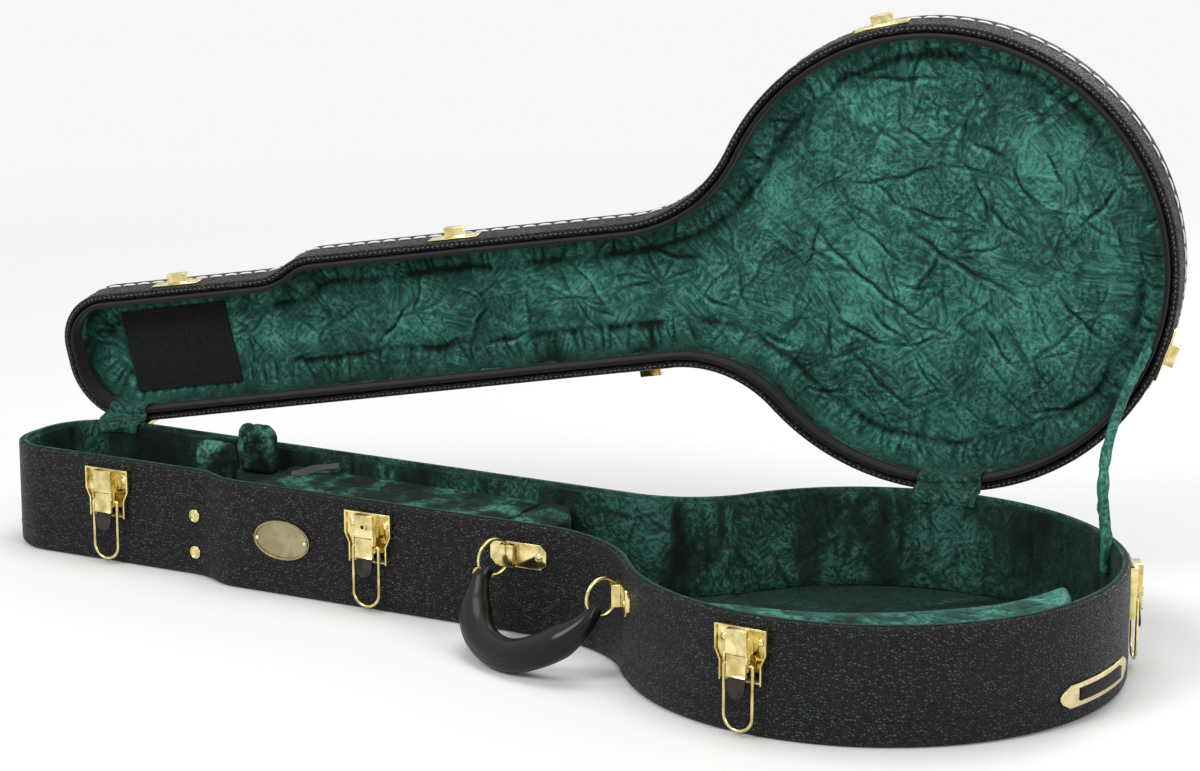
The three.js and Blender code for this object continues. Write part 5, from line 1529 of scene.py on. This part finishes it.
def makeGrip():
    tilt = math.acos((grip["height"] - grip["gap"] - grip["width"] / 2) / grip["depth"])
    down = handleOut * math.sin(tilt) - up * math.cos(tilt)
    local = Matrix((handleLine, down, handleLine.cross(down))).transposed()
    path, count = gripPath(), grip["sides"]
    seams = (grip["seam"], 2 * math.pi - grip["seam"])
    points = []
    for i, middle in enumerate(path):
        run = runAt(path, i)
        inward = Vector((-run.y, run.x, 0))
        fullness = min(1.0, 2.1 * max(math.sin(math.pi * (i / (len(path) - 1))), 0) ** 1.3)
        thick = grip["endThickness"] + (grip["thickness"] - grip["endThickness"]) * fullness
        wide = grip["endWidth"] + (grip["width"] - grip["endWidth"]) * fullness
        for k in range(count):
            angle = 2 * math.pi * k / count
            away = [(angle - seam + math.pi) % (2 * math.pi) - math.pi for seam in seams]
            near = sum(math.exp(-reach ** 2 / grip["grooveWidth"]) for reach in away)
            groove = 1 - grip["groove"] * fullness * near
            spot = middle + inward * (thick / 2 * math.cos(angle) * groove)
            spot.z += wide / 2 * math.sin(angle) * groove
            points.append(ringCentre + local @ spot)
    makePiece("handle_grip_leather", points, tubeFaces(grip["rows"], count), gripLeather, "handle",
              ("handle_grip",))
    for name, angle in zip(("handle_welt_front", "handle_welt_back"), seams):
        column = int(angle / (2 * math.pi) * count + 0.5)
        rows = []
        for i in range(grip["weltFrom"], grip["rows"] - grip["weltFrom"]):
            around = points[i * count:(i + 1) * count]
            middle = sum(around, Vector()) / count
            rows.append(around[column] - (around[column] - middle).normalized() * grip["weltSink"])
        makePiece(name, tubePoints(rows, grip["welt"]), tubeFaces(len(rows), 8), gripLeather, "handle")


makeGrip()
print("handle is made")

# stay strap from the base's wall to the lid's

strap = {
    "width": 11, "thickness": 8, "gap": 2.2, "baseAngle": 27.4, "lidAngle": 19, "baseLow": 70,
    "baseHigh": 89, "lidLow": 5, "lidHigh": 22, "bow": 15, "rows": 60, "sides": 16, "ripple": 0.34,
    "squareness": (0.45, 0.7),
}


def makeStrap():
    count = strap["rows"]
    baseSide, lidSide = polar(math.radians(strap["baseAngle"])), polar(math.radians(strap["lidAngle"]))
    baseFoot = baseSide * (plan["bodyRadius"] - lining["wallInset"] - strap["gap"])
    lidFoot = lidSide * (plan["bodyRadius"] - valance["inner"] - strap["gap"])
    heights = (shell["rim"] + strap["lidLow"], shell["rim"] + strap["lidHigh"])
    lidPlaces = openedUp([(*lidFoot, height) for height in heights])
    low, high = Vector((*baseFoot, strap["baseHigh"])), Vector(lidPlaces[0])
    points = [Vector((*baseFoot, strap["baseLow"])), low]
    for share in (0.25, 0.5, 0.75):
        bow = strap["bow"] * math.sin(math.pi * share)
        points.append(low.lerp(high, share) + Vector((-bow, -bow / 2, 0)))
    points += [high, Vector(lidPlaces[1])]
    path = smoothPath(points, count)
    turn = Matrix.Rotation(-math.radians(shell["openAngle"]), 3, "X")
    firstFacing, lastFacing = Vector((*baseSide, 0)), turn @ Vector((*lidSide, 0))
    section = []
    for a in turns(strap["sides"]):
        c, s = math.cos(a), math.sin(a)
        section.append((math.copysign(abs(c) ** strap["squareness"][0], c),
                        math.copysign(abs(s) ** strap["squareness"][1], s)))
    rows = []
    for i, middle in enumerate(path):
        run = runAt(path, i)
        facing = firstFacing.lerp(lastFacing, i / (count - 1))
        facing = (facing - run * run.dot(facing)).normalized()
        side = run.cross(facing)
        for a, b in section:
            ripple = 1 + strap["ripple"] * noise.noise(middle * 0.11 + Vector((a, b, 0)) * 0.8)
            rows.append(middle + side * (a * strap["width"] / 2 * ripple)
                        + facing * (b * strap["thickness"] / 2 * ripple))
    piece = makePiece("stay_strap_plush", rows, tubeFaces(count, strap["sides"]), plush, None,
                      ("stay_strap",))
    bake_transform(piece)


# plush covers over the hinges, from the base's lining over both rims to the lid's valance

hingeCovers = {
    "head_hinge_cover": {
        "centre": (cornerX, cornerY), "radius": plan["rearCornerRadius"], "middle": -752, "width": 46,
        "seed": 3,
    },
    "body_hinge_cover": {
        "centre": (0, 0), "radius": plan["bodyRadius"], "middle": 12.5, "width": 58, "seed": 9,
    },
}
coverCloth = {"gap": 0.6, "columns": 25, "rows": 34, "thickness": 0.35, "lift": 0.25, "crumple": 0.95}
rimTop, valanceFoot = shell["baseDepth"], shell["rim"] - valance["reach"] - coverCloth["gap"] - 1
valanceFace = valance["inner"] + coverCloth["gap"] + 1
# inset, height and whether on the lid
coverRoute = (
    (lining["wallInset"] + coverCloth["gap"], rimTop - 9, False),
    (lining["wallInset"] + coverCloth["gap"], rimTop - 5, False),
    (8.2, rimTop - 1.5, False), (5, rimTop + coverCloth["gap"] + 0.2, False),
    (1.2, rimTop + coverCloth["gap"], False),
    (valance["outer"], valanceFoot, True), (valance["inner"], valanceFoot, True),
    (valanceFace, shell["rim"], True), (valanceFace, shell["rim"] + valance["top"], True),
    (valanceFace, shell["rim"] + valance["top"] + 4, True),
)


def makeHingeCover(node, look):
    radius, width, centre = look["radius"], look["width"], look["centre"]
    columns, rows = coverCloth["columns"], coverCloth["rows"]
    half = width / 2 / radius
    middle = math.acos((look["middle"] - centre[0]) / radius)
    grid = []
    for i in range(columns):
        away = polar(middle + half * (1 - 2 * i / (columns - 1)))
        spine = []
        for inset, z, onLid in coverRoute:
            point = (*(np.array(centre) + away * (radius - inset)), z)
            spine.append(Vector(openedUp([point])[0]) if onLid else Vector(point))
        line = smoothPath(spine, rows)
        for k, point in enumerate(line):
            facing = runAt(line, k).cross(up.cross(Vector((*away, 0)))).normalized()
            wave = 0.5 + 0.5 * noise.noise(Vector((point.x * 0.16, k * 0.22, look["seed"])))
            wave *= math.sin(math.pi * k / (rows - 1)) ** 0.5
            grid.append(point + facing * (coverCloth["lift"] + coverCloth["crumple"] * wave))
    backs = []
    for i in range(columns):
        for k in range(rows):
            before, after = grid[i * rows + max(k - 1, 0)], grid[i * rows + min(k + 1, rows - 1)]
            beside = grid[min(i + 1, columns - 1) * rows + k] - grid[max(i - 1, 0) * rows + k]
            normal = (after - before).cross(beside).normalized()
            backs.append(grid[i * rows + k] - normal * coverCloth["thickness"])
    points, faces = grid + backs, loopFaces(columns, rows, False, False)
    faces += [tuple(v + len(grid) for v in reversed(face)) for face in faces]
    border = [k for k in range(rows)] + [i * rows + rows - 1 for i in range(1, columns)]
    border += [(columns - 1) * rows + k for k in range(rows - 2, -1, -1)]
    border += [i * rows for i in range(columns - 2, 0, -1)]
    faces += [(a, b, b + len(grid), a + len(grid)) for a, b in zip(border, border[1:] + border[:1])]
    piece = makePiece(f"{node}_plush", points, faces, shadedWallPlush, None, (node,))
    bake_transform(piece)


# ribbon that lifts the compartment's lid

ribbon = {
    "from": (568, 28), "to": (532, 48), "rows": 24, "halfWidth": 5.2, "lift": 0.3,
    "section": ((1, 1), (0, 1.4), (-1, 1), (-1, -1), (0, -0.6), (1, -1)),
}


def makeRibbon():
    low, high, _ = boxOf("compartment_lid_ribbon")
    start, end = neckPoint(*ribbon["from"]), neckPoint(*ribbon["to"])
    points = [
        Vector((*start, low.z + 0.4)), Vector((*(start * 0.8 + end * 0.2), low.z + 1.2)),
        Vector((*(start * 0.45 + end * 0.55), low.z + 5.0)), Vector((*end, high.z - 0.6)),
    ]
    path = smoothPath(points, ribbon["rows"])
    width = Vector((*(-alongNeck), 0))
    rows = []
    for i, middle in enumerate(path):
        run = runAt(path, i)
        side = (width - run * run.dot(width)).normalized()
        lift = side.cross(run)
        rows += [middle + side * (a * ribbon["halfWidth"]) + lift * (b * ribbon["lift"])
                 for a, b in ribbon["section"]]
    piece = makePiece("compartment_ribbon_cloth", rows, tubeFaces(ribbon["rows"], len(ribbon["section"])),
                      ribbonCloth, "compartment_lid", ("compartment_lid_ribbon",))


makeStrap()
for node, look in hingeCovers.items():
    makeHingeCover(node, look)
makeRibbon()
print("cloth pieces are made")

# studio floor, which fades out round the case; lengths in metres

floor = {
    "half": 30, "drop": 0.0002, "color": (0.80, 0.80, 0.79), "mottle": 0.985, "mottleScale": 3,
    "fade": (0.9, 2.6), "roughness": 0.75,
}


def makeFloor():
    half = floor["half"]
    mesh = bpy.data.meshes.new("studioFloor")
    corners = [(-half, -half, 0), (half, -half, 0), (half, half, 0), (-half, half, 0)]
    mesh.from_pydata(corners, [], [(0, 1, 2, 3)])
    studioFloor = newPiece("studioFloor", mesh)
    studioFloor.location.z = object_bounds()[0][2] - floor["drop"]
    finish, tree, bsdf = newFinish("floorPaper")
    coordinates = objectPlace(tree)
    shade = noiseNode(tree, coordinates, floor["mottleScale"], 4)
    away = vectorNode(tree, "LENGTH", {0: coordinates})
    setInputs(tree, bsdf, {
        "Base Color": rampNode(tree, shade, (0.2, tuple(c * floor["mottle"] for c in floor["color"])),
                               (0.8, floor["color"])),
        "Alpha": rangeNode(tree, away, *floor["fade"], 1.0, 0.0), "Roughness": floor["roughness"],
    })
    mesh.materials.append(finish)


makeFloor()
